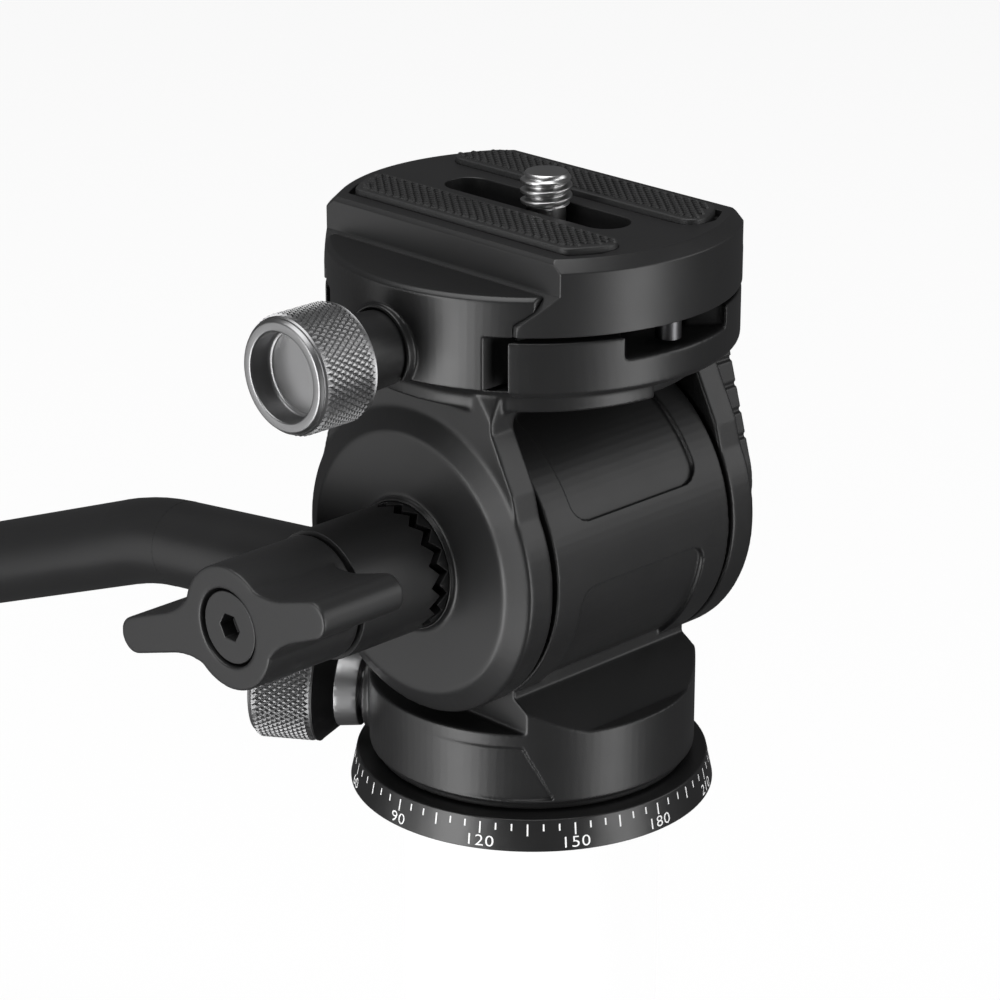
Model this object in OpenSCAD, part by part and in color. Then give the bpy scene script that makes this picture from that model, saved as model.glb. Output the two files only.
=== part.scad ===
// Fluid video head: a pan base, a tilt drum between two cheeks, a dovetail clamp
// with its plate, and a handle on a toothed barrel.
// Millimetres. +Z is up, the origin is the middle of the base's mounting face,
// -Y is the front and the handle side is -X.

/* [Base] */
// Radius of the base ring at its mounting face
ring_bottom_r = 23.3; // [22.6:0.1:27]
// Radius of the base ring at its top edge
ring_top_r = 22.45; // [21.4:0.05:22.6]
// Height of the base ring
ring_h = 4; // [3:0.1:5]
// Radius at the crests of the tripod thread
mount_bore_r = 3.97; // [3:0.01:4.8]
// Depth of the tripod thread
mount_depth = 9; // [6:0.5:10]
// Outer radius of the threaded bush
mount_bush_r = 6.4; // [5.6:0.1:6.8]
// Radius of the circle that the base screws lie on
base_screw_pcd_r = 10.2; // [9.4:0.1:11]
// Shank radius of a base screw
base_screw_r = 1.5; // [1:0.1:1.7]
// Head radius of a base screw
base_screw_head_r = 2.8; // [2.2:0.1:3]
// Number of base screws
base_screw_count = 3; // [3:1:4]

/* [Pan spindle] */
// Radius of the spindle's flange
flange_r = 12; // [11.8:0.1:13]
// Thickness of the spindle's flange
flange_t = 2.6; // [2:0.1:3]
// Thickness of the thrust washer on the flange
thrust_t = 0.8; // [0.5:0.1:1]
// Radius of the spindle's hub, which the pan lock presses on
hub_r = 8.5; // [8:0.1:8.6]
// Height of the spindle's hub above the flange
hub_h = 6.6; // [6.2:0.1:7]
// Radius of the spindle's post
post_r = 6; // [5:0.1:6.4]
// Outer radius of the bush round the post
pan_bush_r = 8; // [7.2:0.1:8.2]
// Length of the bush round the post
pan_bush_l = 7; // [4:0.5:9]
// Radius of the spindle's threaded end
spindle_end_r = 4; // [3:0.1:4.5]
// Thickness of the washer below the spindle nut
spindle_washer_t = 0.8; // [0.5:0.1:1]
// Outer radius of the washer below the spindle nut
spindle_washer_r = 7.9; // [7:0.1:8]
// Height of the spindle nut
nut_h = 3.5; // [2.5:0.1:3.7]
// Width of the spindle nut across its flats
nut_af = 13; // [11:0.5:13.5]
// Inner radius of the damping ring
damping_in_r = 16.5; // [14:0.1:17]
// Outer radius of the damping ring
damping_out_r = 18; // [17.5:0.1:18.8]
// Height of the damping ring
damping_h = 1; // [0.6:0.1:1.6]

/* [Pan housing] */
// Radius of the round housing
skirt_r = 20.8; // [20.4:0.1:21]
// Radius of the neck in the groove above the base ring
neck_r = 19.9; // [19:0.1:20.2]
// Height of the groove above the base ring
neck_h = 1; // [0.6:0.1:1.4]
// Chamfer on the lower edge of the housing
skirt_edge = 0.35; // [0.1:0.05:0.6]
// Height of the flat trench beside the drum
trench_z = 14.6; // [14.2:0.1:14.8]
// Height at which the shoulder meets the housing's front
shoulder_low_z = 13.2; // [12.9:0.1:14]
// Height at which the shoulder meets the saddle
shoulder_top_z = 18.8; // [17:0.1:19]
// Half thickness of the saddle below the drum
saddle_half = 11.96; // [11.6:0.1:12.4]
// Height of the seat for the spindle washer
seat_z = 24; // [23.6:0.1:24.2]
// Lower edge of the shallow recess in the wall
recess_low_z = 5.7; // [5.6:0.1:7]
// Upper edge of the shallow recess in the wall
recess_high_z = 12.85; // [11:0.1:12.9]
// Depth at the deep end of the recess
recess_depth = 0.5; // [0.2:0.05:0.7]
// Direction of the deep end of the recess
recess_angle = 227; // [220:1:240]
// Slant of the recess's end, sideways over its height
recess_slant = 4; // [0:0.5:6]

/* [Tilt drum] */
// Height of the tilt axis
tilt_z = 35; // [34.8:0.1:35.6]
// Radius of the drum
drum_r = 19.43; // [19:0.05:19.6]
// Half width of the drum
drum_half = 15.2; // [15:0.05:15.25]
// Depth of the panels let into the drum
panel_depth = 0.6; // [0.2:0.05:1]
// Half width of the panels
panel_half = 10.8; // [8:0.1:12]
// Corner radius of the panels
panel_corner_r = 2.4; // [1:0.1:4]
// Direction of the upper panel above the horizontal
panel_high_angle = 46; // [43:1:55]
// Half the arc of the upper panel
panel_high_arc = 24.4; // [16:0.2:26]
// Direction of the lower panel below the horizontal
panel_low_angle = 30; // [26:1:34]
// Half the arc of the lower panel
panel_low_arc = 27; // [20:0.5:28]
// Radius of the bearing bore through the drum
cavity_r = 11; // [10.2:0.1:11.4]
// Length of each tilt bush
tilt_bush_l = 6; // [4:0.2:6.4]
// Radius of the tilt shaft
shaft_r = 5; // [4.6:0.1:5.3]
// Outer radius of the washers beside the drum
tilt_washer_r = 9; // [7:0.1:12]

/* [Yoke] */
// Distance from the middle to the inner face of a cheek
cheek_in = 15.9; // [15.8:0.05:16.2]
// Thickness of a cheek's straight rim
cheek_rim_t = 3.9; // [3.2:0.1:4.4]
// Height of the cone on a cheek
cheek_cone_h = 1.7; // [1:0.1:2.2]
// Radius of the cheeks
cheek_r = 19.4; // [18.6:0.1:19.6]
// Radius of the flat outer face of a cheek
cheek_face_r = 16.5; // [14:0.1:17.5]
// Depth of the shaft's seat in a cheek
shaft_seat = 3; // [2:0.1:4]
// Half width of a neck where it leaves the cheek
neck_root_half = 17.2; // [16.8:0.1:17.3]
// Height of that point above the tilt axis
neck_root_h = 8.8; // [8:0.1:8.9]
// Half width of a neck half way up
neck_mid_half = 16.2; // [15:0.1:16.6]
// Height of that point above the tilt axis
neck_mid_h = 12.5; // [11:0.1:14]
// Half width of a neck at its top
neck_top_half = 12.7; // [11:0.1:13.5]
// Height of that point above the tilt axis
neck_top_h = 19.3; // [18:0.1:20.5]
// Outer radius of the necks, at the height of the tilt axis
neck_spread_r = 31.3; // [28:0.1:33]
// Radius of the fillet between cheeks and platform
arch_r = 2.2; // [1:0.1:2.3]
// Radius of the collar below the platform, on the clamp side
collar_r = 22; // [21:0.1:23]
// Radius of the collar on the other side
collar_low_r = 20.5; // [20:0.1:20.9]
// Where the larger collar ends at the front and back
collar_end_x = 1.5; // [0:0.1:4]
// Height of the collar
collar_h = 2.8; // [2.4:0.1:3]
// Radius of the fillet between collar and platform
flare_r = 1.4; // [0.6:0.1:2]
// Radius of the boss that holds the toothed ring
boss_r = 8.26; // [8.2:0.02:9]
// Height of that boss above the cheek
boss_h = 0.8; // [0.4:0.05:0.85]

/* [Platform] */
// Underside of the platform
platform_z = 59.5; // [59.4:0.1:60.4]
// Radius of the platform
platform_r = 25.4; // [25.3:0.1:26.4]
// Thickness of the platform
platform_t = 6.9; // [6.8:0.1:7]
// Chamfer on the platform's lower edge
platform_edge = 0.7; // [0.2:0.05:1.2]
// Height of the middle of the platform, which carries the plate
island_h = 0.6; // [0.3:0.05:0.62]
// Distance from the plate's straight side to the end of that middle
island_side = 1.8; // [0.8:0.1:3.8]
// Half length of that middle along Y
island_y = 13.6; // [12:0.1:14]
// Height of the fixed jaw above the platform
fixed_jaw_h = 4.6; // [3:0.1:5]
// Half width of the pocket for the sliding jaw
pocket_half = 15.6; // [14:0.1:16]
// Half width of the front notch at the rim
notch_half = 8.7; // [7:0.1:10]
// Depth of the front notch's wide part
notch_lip = 2.5; // [1:0.1:3]
// Half width of the front notch behind its slanted walls
notch_in_half = 5.7; // [4:0.1:6.5]
// Depth of the notch at the end of its slanted walls
notch_slant = 5.4; // [4:0.1:6]
// Whole depth of the front notch
notch_depth = 8.9; // [8.2:0.1:9.6]
// Height of the front notch's floor above the platform's underside
notch_floor = 4.2; // [3:0.1:4.4]

/* [Clamp jaw] */
// Distance of the sliding jaw's wall inside the platform's rim
jaw_inset = 0.1; // [0:0.05:0.4]
// Half width of the jaw's body
jaw_half = 13.1; // [12:0.1:13.8]
// Underside of the jaw above the platform's underside
jaw_lift = 0.8; // [0.4:0.1:1.2]
// Half width of the jaw's lip
lip_half = 17.9; // [16:0.1:18.2]
// Top of the jaw's lip above the plate's underside
lip_h = 4.75; // [3.8:0.05:5]
// Chamfer on the lip's outer edge
lip_edge = 0.5; // [0.2:0.05:0.8]
// Radius of the boss round the knob's collar
jaw_boss_r = 5.3; // [5.1:0.05:5.8]
// Height of that boss
jaw_boss_h = 0.7; // [0.3:0.1:1]
// Radius of the guide pins
guide_pin_r = 1.5; // [1:0.1:1.7]
// Distance of a guide pin from the middle
guide_pin_y = 9; // [8:0.1:10]
// Length of a guide pin in the platform
guide_pin_seat = 5; // [3:0.5:6]
// Length of a guide pin in the jaw
guide_pin_out = 6; // [4.2:0.1:6.2]

/* [Clamp knob] */
// Height of the clamp screw above the platform's underside
clamp_lift = 4; // [3.6:0.1:4]
// Radius of the clamp screw
clamp_stud_r = 2.5; // [2:0.1:2.55]
// Length of the clamp screw inside the platform
clamp_stud_in = 12; // [8:0.5:14]
// Distance from the jaw's wall to the inner end of the collar
clamp_collar_out = 0.15; // [0.1:0.05:0.3]
// Length of the collar
clamp_collar_l = 6.95; // [5:0.05:9]
// Radius of the collar at the jaw
clamp_collar_r = 4.6; // [4:0.1:4.8]
// Radius of the collar at the knob
clamp_collar_knob_r = 4.9; // [4.2:0.1:5.6]
// Length of the knob
clamp_knob_l = 8.7; // [7:0.1:11]
// Radius of the knob over the knurl
clamp_knob_r = 7.3; // [6.6:0.05:7.35]
// Length of the chamfer at the knob's face
clamp_knob_edge = 1; // [0.4:0.1:1.4]
// Width of that chamfer
clamp_knob_bevel = 0.7; // [0.2:0.05:0.9]
// Radius of the cup in the knob's face
clamp_cup_r = 5.4; // [4.4:0.1:5.6]
// Depth of the cup in the knob's face
clamp_cup_h = 3; // [1.5:0.1:3.4]

/* [Quick plate] */
// Distance of the plate's rim outside the platform's rim
plate_overhang = 0.1; // [0:0.05:0.4]
// Thickness of the plate
plate_t = 9.1; // [8.8:0.1:9.4]
// Distance from the platform's rim to the plate's straight side
plate_side_in = 9.6; // [9.4:0.1:9.8]
// Height of the dovetail's vertical foot
foot_h = 1.35; // [1:0.05:1.4]
// Height of the dovetail's slanted flank
flank_h = 3.6; // [3:0.1:3.8]
// Chamfer on the round part of the top edge
plate_edge = 1.4; // [0.4:0.1:1.8]
// Chamfer on the straight part of the top edge
plate_side_edge = 0.5; // [0.2:0.1:0.9]
// Half width of the screw slot
slot_half = 3; // [2.7:0.1:3.1]
// Front end of the screw slot
slot_front = 15.1; // [12:0.1:15.6]
// Back end of the screw slot
slot_back = 14.2; // [12:0.1:15.6]
// Thickness of the plate's web above the screw's head
slot_web = 4.1; // [3.6:0.1:4.3]
// Width of a pad as a share of the plate's half width
pad_share = 0.466; // [0.3:0.002:0.48]
// Distance from the plate's straight side to a pad
pad_side = 2.74; // [1.6:0.02:4.8]
// Distance from the plate's rim to the pads' ends
pad_margin = 2.8; // [2.3:0.1:5]
// Corner radius of the pads
pad_corner_r = 2.2; // [0.6:0.1:2.4]
// Depth of the pads in the plate
pad_sink = 1; // [0.6:0.1:1.6]
// Height of the pads above the plate
pad_proud = 0.85; // [0.4:0.05:1.2]
// Gap round a pad
pad_gap = 0.25; // [0.15:0.05:0.3]
// Radius of the stop pins
stop_pin_r = 1.6; // [1.2:0.1:1.8]
// Distance from the plate's rim to the middle of a stop pin
stop_pin_in = 3.1; // [2.7:0.1:3.7]
// Length of a stop pin below the plate
stop_pin_out = 2.85; // [1.5:0.05:3]
// Length of a stop pin inside the plate
stop_pin_seat = 3; // [2:0.1:4]

/* [Camera screw] */
// Outer radius of the camera thread
camera_thread_r = 3.175; // [3.1:0.005:4]
// Radius of the screw's neck
camera_neck_r = 2.4; // [2:0.1:2.5]
// Height of the screw above the plate
camera_out = 4.3; // [3.5:0.1:6]
// Gap between the plate's top and the thread
camera_thread_gap = 0.15; // [0.1:0.05:0.6]
// Length of the cone at the screw's tip
camera_tip_h = 0.6; // [0.3:0.1:1]
// Radius of the flat at the screw's tip
camera_tip_r = 2.3; // [1.8:0.1:2.7]
// Distance of the screw from the middle, toward the front
camera_y = 2.15; // [0:0.05:4]
// Radius of the screw's head
camera_head_r = 5.4; // [4.8:0.1:5.6]
// Height of the screw's head
camera_head_h = 3.5; // [2.6:0.1:3.7]
// Width of the coin slot in the head
coin_slot_w = 1.4; // [0.8:0.1:2]
// Depth of the coin slot in the head
coin_slot_h = 1.3; // [0.8:0.1:1.8]
// Thickness of the washer that keeps the screw in
screw_washer_t = 0.7; // [0.4:0.1:0.75]
// Outer radius of that washer
screw_washer_r = 4.6; // [3.6:0.1:5.2]

/* [Handle barrel] */
// Outer radius of the toothed ring
rosette_r = 7.9; // [7:0.05:7.95]
// Inner radius of the toothed ring
rosette_in_r = 3.6; // [3.4:0.1:5]
// Depth of the teeth
tooth_h = 1.35; // [0.8:0.05:1.5]
// Width of the flat on a tooth's tip at the ring's rim
tooth_flat = 0.12; // [0.08:0.02:0.2]
// Number of teeth
tooth_count = 18; // [12:2:24]
// Depth of the ring's seat below the boss's top
rosette_seat = 1; // [0.6:0.1:1.4]
// Radius of the barrel
barrel_r = 8; // [7.6:0.05:8.2]
// Distance from the middle to the barrel's outer end
barrel_end = 35.95; // [35.6:0.05:36.2]
// Radius of the bore for the bolt
bolt_hole_r = 3.2; // [3.12:0.02:3.4]

/* [Handle bar] */
// Distance from the middle to the bar's centre line
bar_x = 30.4; // [30.2:0.05:30.45]
// Radius of the bar
bar_r = 5.5; // [4.8:0.05:5.5]
// Radius of the bar's end inside the barrel
spigot_r = 4.6; // [4:0.1:4.65]
// Distance from the tilt axis to that end
spigot_start = 4.2; // [4:0.1:4.6]
// Slope of the bar at the barrel
bar_slope = 7; // [4:0.5:8]
// Angle of the bend in the bar
bar_bend = 14; // [10:1:16]
// Distance from the tilt axis to the middle of the bend
bar_bend_at = 37; // [30:0.5:44]
// Radius of the bend
bar_bend_r = 44; // [30:1:60]
// Length of the bar past the bend
bar_l = 150; // [120:1:200]
// Start of the grip past the bend
grip_start = 46; // [40:1:60]
// Radius of the grip
grip_r = 11.5; // [9:0.1:13]
// Radius of the grip at its ends
grip_end_r = 10; // [8:0.1:11.5]
// Length over which the grip narrows
grip_taper = 12; // [6:0.5:20]
// Thickness of the cap on the grip
grip_cap_t = 2.5; // [1.5:0.1:4]
// Width of the grooves round the grip
grip_groove_w = 1.6; // [0.8:0.1:2.4]
// Depth of the grooves round the grip
grip_groove_h = 0.8; // [0.3:0.1:1.2]
// Number of grooves round the grip
grip_groove_count = 10; // [4:1:12]

/* [Wing knob] */
// Distance from the middle to the wing knob's inner face
wing_x = 36.4; // [36.35:0.05:36.8]
// Length of the wing knob along its axis
wing_l = 13.9; // [10:0.1:16]
// Radius of the wing knob's hub
wing_hub_r = 7.6; // [7.4:0.1:8.8]
// Radius of the long wing's tip from the axis
wing_long_r = 20.8; // [18:0.1:20.9]
// Radius of the short wing's tip from the axis
wing_short_r = 17.9; // [15:0.1:20]
// Distance from the knob's inner face to the wings
wing_back_in = 1.5; // [0.5:0.1:3]
// Half thickness of a wing near its tip
wing_tip_half = 2.3; // [1.6:0.1:2.8]
// Direction of the long wing below the horizontal
wing_long_angle = 19.5; // [10:0.5:26]
// Direction of the short wing above the horizontal
wing_short_angle = 20; // [10:0.5:26]
// Distance from the axis to a wing's waist
wing_waist_x = 12; // [10:0.1:13]
// Half thickness of a wing at its waist
wing_waist_half = 2.5; // [2.4:0.1:3.6]
// Direction in which a wing's side leaves the hub
wing_root_angle = 52; // [40:1:60]
// Share of the hub's radius at which a wing's side starts
wing_root_share = 0.94; // [0.8:0.01:0.96]
// Radius of the wing bolt
wing_bolt_r = 3; // [2.6:0.05:3.02]
// Radius of the wing bolt's head
wing_bolt_head_r = 4.45; // [4.2:0.05:5.2]
// Height of the wing bolt's head
wing_bolt_head_h = 3.4; // [2.4:0.1:4]
// Depth of the bolt's head below the knob's face
wing_bolt_sink = 0.4; // [0.1:0.1:1]
// Gap round the bolt's head
wing_bolt_gap = 0.35; // [0.2:0.05:0.6]
// Width of the hex socket across its flats
wing_socket_af = 3; // [3:0.5:5]
// Depth of the hex socket
wing_socket_h = 2; // [1:0.1:2.2]
// Distance from the middle to the bolt's end in the shaft
wing_bolt_end = 6; // [5.5:0.1:9]
// Outer radius of the washer below the wing knob
handle_washer_r = 6.4; // [5:0.1:7]
// Thickness of the washer below the wing knob
handle_washer_t = 0.35; // [0.2:0.05:0.36]

/* [Pan lock] */
// Direction of the pan lock, counted from +X
pan_lock_angle = 124; // [115:1:135]
// Height of the pan lock's axis
pan_lock_z = 9.7; // [9.6:0.05:9.9]
// Radius of the boss on the housing round the stud
lock_boss_r = 4.8; // [4.6:0.05:4.9]
// Height of that boss above the housing's wall
lock_boss_h = 0.55; // [0.3:0.05:0.7]
// Distance from the housing's wall to the knob's neck
pan_neck_out = 1.2; // [0.8:0.1:2.2]
// Radius of the neck where it starts
pan_neck_r = 4.7; // [4.2:0.1:5]
// Length of the neck
pan_neck_l = 3; // [2:0.1:4]
// Radius of the neck at the knob
pan_neck_knob_r = 5; // [4.4:0.1:5.6]
// Length of the knob's dark cone
pan_cone_l = 2.3; // [1.5:0.1:3]
// Radius of the knob over the knurl
pan_knob_r = 7.2; // [6.4:0.05:7.4]
// Length of the knurled part
pan_knob_l = 8.7; // [7:0.1:11]
// Rounding of the knob's outer edge
pan_knob_edge = 0.8; // [0.3:0.1:1.4]
// Radius of the pan lock's stud
pan_stud_r = 3; // [2.4:0.1:3.1]
// Thickness of the wall below the brake pad's bore
brake_wall = 0.4; // [0.3:0.05:0.8]
// Length of the brake pad
brake_pad_l = 3.9; // [2.5:0.1:4.5]

/* [Tilt lock] */
// Thickness of the pressure washer on the right cheek
pressure_washer_t = 1.5; // [1:0.1:2]
// Outer radius of the pressure washer
pressure_washer_r = 9; // [7:0.1:11]
// Radius of the lever's hub
lever_hub_r = 11.3; // [9:0.1:12]
// Thickness of the lever
lever_t = 5.8; // [4.5:0.1:7]
// Distance from the tilt axis to the middle of the lever's tip
lever_l = 16.3; // [13:0.1:16.6]
// Radius of the lever's tip
lever_tip_r = 6.9; // [5.5:0.1:7.1]
// Spacing of the grip grooves on the lever
lever_groove_step = 3.4; // [2.6:0.1:4]
// Radius of the grip grooves on the lever
lever_groove_r = 0.35; // [0.2:0.05:0.6]
// Number of grip grooves on each edge
lever_groove_count = 4; // [2:1:4]
// Radius of the tilt lock's stud
lock_stud_r = 3; // [2.6:0.05:3.02]
// Distance from the middle to the stud's end in the shaft
lock_stud_end = 6; // [5.5:0.1:9]
// Radius of the cap on the lever
lever_cap_r = 6; // [4:0.1:8]
// Thickness of the cap on the lever
lever_cap_t = 1.6; // [0.8:0.1:2]
// Height of the cap above the lever
lever_cap_out = 0.3; // [0:0.1:0.6]

/* [Fits] */
// Gap round a shaft or screw that turns or slides
run_gap = 0.05; // [0.02:0.01:0.08]
// Gap round a piece that is pressed or screwed fast
seat_gap = 0.02; // [0.01:0.01:0.04]
// Gap between faces that move past each other
face_gap = 0.05; // [0.04:0.01:0.08]
// Gap between the plate and the jaws
clamp_gap = 0.1; // [0.05:0.01:0.15]
// Gap between the base ring and the housing
pan_gap = 0.2; // [0.1:0.05:0.3]
// How far a cut runs past the piece that it cuts
overrun = 1; // [0.5:0.1:1.5]

/* [Hidden] */
$fn = 96;

// Heights in the base
flange_z = ring_h;
thrust_z = flange_z + flange_t;
hub_z = thrust_z + hub_h;
housing_z = ring_h + pan_gap;
skirt_z = housing_z + neck_h;
recess_top_z = thrust_z + thrust_t + face_gap;
hub_bore_top_z = hub_z + pan_gap;
nut_z = seat_z + face_gap + spindle_washer_t;

// Along the tilt axis
cheek_flat = cheek_in + cheek_rim_t;
cheek_out = cheek_flat + cheek_cone_h;
shaft_end = cheek_in + shaft_seat;
shaft_bore_end = min(wing_bolt_end - tooth_h, lock_stud_end) - overrun;
boss_out = cheek_out + boss_h;
rosette_face = boss_out + tooth_h;
barrel_start = rosette_face + face_gap;
tooth_w = 2 * rosette_r * sin(180 / tooth_count) - tooth_flat;
lever_in = cheek_out + face_gap + pressure_washer_t + face_gap;

// Rims round the clamp
plate_r = platform_r + plate_overhang;
jaw_r = platform_r - jaw_inset;
plate_half = platform_r - plate_side_in;
pocket_x = plate_half + clamp_gap;
island_x = plate_half - island_side;
pad_out = plate_half - pad_side;
pad_in = pad_out - pad_share * plate_half;
pad_end_r = plate_r - pad_margin;
stop_pin_y = plate_r - stop_pin_in;

// Heights in the clamp
collar_z = platform_z - collar_h;
platform_top = platform_z + platform_t;
island_top = platform_top + island_h;
plate_z = island_top + face_gap;
plate_top = plate_z + plate_t;
clamp_z = platform_z + clamp_lift;
jaw_z = platform_z + jaw_lift;
foot_half = plate_half + flank_h;
jaw_foot = foot_half + clamp_gap;
jaw_in = pocket_x + clamp_gap;
web_z = plate_top - slot_web;
head_z = web_z - screw_washer_t - 2 * face_gap - camera_head_h;

// Along the clamp screw and the handle
clamp_collar_x = jaw_r + clamp_collar_out;
clamp_knob_x = clamp_collar_x + clamp_collar_l;
clamp_knob_end = clamp_knob_x + clamp_knob_l;
wing_end = wing_x + wing_l;
bolt_head_end = wing_end - wing_bolt_sink;
bolt_head_start = bolt_head_end - wing_bolt_head_h;
bend_tangent = bar_bend_r * tan(bar_bend / 2);
grip_l = bar_l - grip_start;
pan_neck_start = skirt_r + pan_neck_out;
pan_knob_x = pan_neck_start + pan_neck_l + pan_cone_l;
brake_start = hub_r + face_gap;
brake_pad_r = pan_lock_z - recess_top_z - brake_wall - run_gap;

// Positions
module on_tilt_axis() {
    translate([0, 0, tilt_z])
        children();
}

module on_clamp_axis() {
    translate([0, 0, clamp_z])
        children();
}

// Turns +Z to face outward along the pan lock
module on_pan_lock() {
    rotate([0, 0, pan_lock_angle])
        translate([0, 0, pan_lock_z])
            rotate([0, 90, 0])
                children();
}

// A rod or cone along X
module rod_x(start, end, r, end_r = 0) {
    translate([start, 0, 0])
        rotate([0, 90, 0])
            cylinder(h = end - start, r1 = r, r2 = end_r == 0 ? r : end_r);
}

module tube_x(start, end, r, bore_r) {
    difference() {
        rod_x(start, end, r);
        rod_x(start - overrun, end + overrun, bore_r);
    }
}

// A flat shape in Y and Z, drawn out along X
module slab_x(start, end) {
    translate([start, 0, 0])
        rotate([90, 0, 90])
            linear_extrude(end - start)
                children();
}

// A flat shape in X and Z, drawn out along Y on both sides of the middle
module slab_y(half) {
    translate([0, half, 0])
        rotate([90, 0, 0])
            linear_extrude(2 * half)
                children();
}

module washer_z(start, end, r, bore_r) {
    translate([0, 0, start])
        difference() {
            cylinder(h = end - start, r = r);
            translate([0, 0, -overrun])
                cylinder(h = end - start + 2 * overrun, r = bore_r);
        }
}

module rod_z(start, end, r) {
    translate([0, 0, start])
        cylinder(h = end - start, r = r);
}

module left_side() {
    mirror([1, 0, 0])
        children();
}

module front_and_back() {
    children();
    mirror([0, 1, 0])
        children();
}

// A rectangle with round corners about the origin
module round_rect(half_w, half_h, r) {
    steps = 6;
    polygon([for (q = [0 : 3], i = [0 : steps])
        let (a = 90 * (q + i / steps), right = q == 0 || q == 3, top = q < 2)
            [(right ? 1 : -1) * (half_w - r) + r * cos(a), (top ? 1 : -1) * (half_h - r) + r * sin(a)]]);
}

// The screw slot, from above
module slot_shape(half) {
    reach = half - slot_half;
    translate([-half, -slot_front + slot_half])
        square([2 * half, slot_front + slot_back - 2 * slot_half]);
    for (y = [-slot_front + slot_half, slot_back - slot_half])
        translate([0, y])
            circle(r = slot_half + reach);
}

// Base

module base_screw_places() {
    for (i = [0 : base_screw_count - 1])
        rotate([0, 0, i * 360 / base_screw_count])
            translate([base_screw_pcd_r, 0, 0])
                children();
}

module base_screw_form(gap) {
    cylinder(h = ring_h + flange_t - seat_gap, r = base_screw_r + gap);
    cylinder(h = base_screw_head_r - base_screw_r, r1 = base_screw_head_r + gap, r2 = base_screw_r + gap);
}

module base_ring() {
    color("#1f1f20")
        difference() {
            cylinder(h = ring_h, r1 = ring_bottom_r, r2 = ring_top_r);
            rod_z(-overrun, ring_h + overrun, mount_bush_r + seat_gap);
            base_screw_places() {
                base_screw_form(seat_gap);
                rod_z(-overrun, seat_gap, base_screw_head_r + seat_gap);
                rod_z(seat_gap, ring_h + overrun, base_screw_r + seat_gap);
            }
        }
}

module mount_bush() {
    color("#b9a06a")
        washer_z(0, mount_depth, mount_bush_r, mount_bore_r);
}

module pan_spindle() {
    color("#8d8f92")
        difference() {
            union() {
                rod_z(flange_z, thrust_z, flange_r);
                rod_z(thrust_z, hub_z, hub_r);
                rod_z(hub_z, seat_z, post_r);
                rod_z(seat_z, nut_z + nut_h, spindle_end_r);
            }
            rod_z(ring_h - overrun, mount_depth + seat_gap, mount_bush_r + seat_gap);
            base_screw_places()
                rod_z(ring_h - overrun, thrust_z + overrun, base_screw_r + seat_gap);
        }
}

module base_screws() {
    color("#8d8f92")
        base_screw_places()
            difference() {
                base_screw_form(0);
                rod_z(-overrun, base_screw_r / 2, base_screw_r / 2, $fn = 6);
            }
}

module pan_thrust_washer() {
    color("#d8d4c8")
        washer_z(thrust_z, thrust_z + thrust_t, flange_r, hub_r + seat_gap);
}

module spindle_washer() {
    color("#8d8f92")
        washer_z(seat_z + face_gap, nut_z, spindle_washer_r, spindle_end_r + seat_gap);
}

module spindle_nut() {
    color("#8d8f92")
        translate([0, 0, nut_z])
            difference() {
                cylinder(h = nut_h, r = nut_af / 2 / cos(30), $fn = 6);
                rod_z(-overrun, nut_h + overrun, spindle_end_r + seat_gap);
            }
}

// Pan housing

module shoulder_profile() {
    polygon([
        [-skirt_r - overrun, housing_z], [skirt_r + overrun, housing_z],
        [skirt_r, shoulder_low_z], [saddle_half, shoulder_top_z],
        [saddle_half, tilt_z - cavity_r / 2], [-saddle_half, tilt_z - cavity_r / 2],
        [-saddle_half, shoulder_top_z], [-skirt_r, shoulder_low_z]
    ]);
}

module skirt() {
    intersection() {
        rotate_extrude()
            polygon([
                [0, housing_z], [neck_r, housing_z], [neck_r, skirt_z],
                [skirt_r - skirt_edge, skirt_z], [skirt_r, skirt_z + skirt_edge],
                [skirt_r, tilt_z], [0, tilt_z]
            ]);
        union() {
            rod_z(housing_z, trench_z, skirt_r + overrun);
            slab_x(-drum_half, drum_half)
                shoulder_profile();
        }
    }
}

// Cut for one panel at the front of the drum
module drum_panel(angle, arc) {
    floor_r = drum_r - panel_depth;
    difference() {
        rotate([-angle, 0, 0])
            translate([0, -drum_r / 2, 0])
                rotate([90, 0, 0])
                    linear_extrude(drum_r / 2 + overrun)
                        round_rect(panel_half, drum_r * sin(arc), panel_corner_r);
        rod_x(-drum_half, drum_half, floor_r);
    }
}

// Shallow recess in the round wall, deepest at its slanted end
module wall_recess() {
    fade = recess_angle - 180;
    cut_r = skirt_r - recess_depth / (1 - cos(fade));
    reach = skirt_r * sin(fade);
    difference() {
        rotate([0, 0, recess_angle])
            rotate([90, 0, 90])
                linear_extrude(skirt_r + overrun)
                    polygon([
                        [-reach, recess_low_z], [recess_slant / 2, recess_low_z],
                        [-recess_slant / 2, recess_high_z], [-reach, recess_high_z]
                    ]);
        translate([cut_r - skirt_r, 0, 0])
            rod_z(housing_z, trench_z, cut_r);
    }
}

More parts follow.
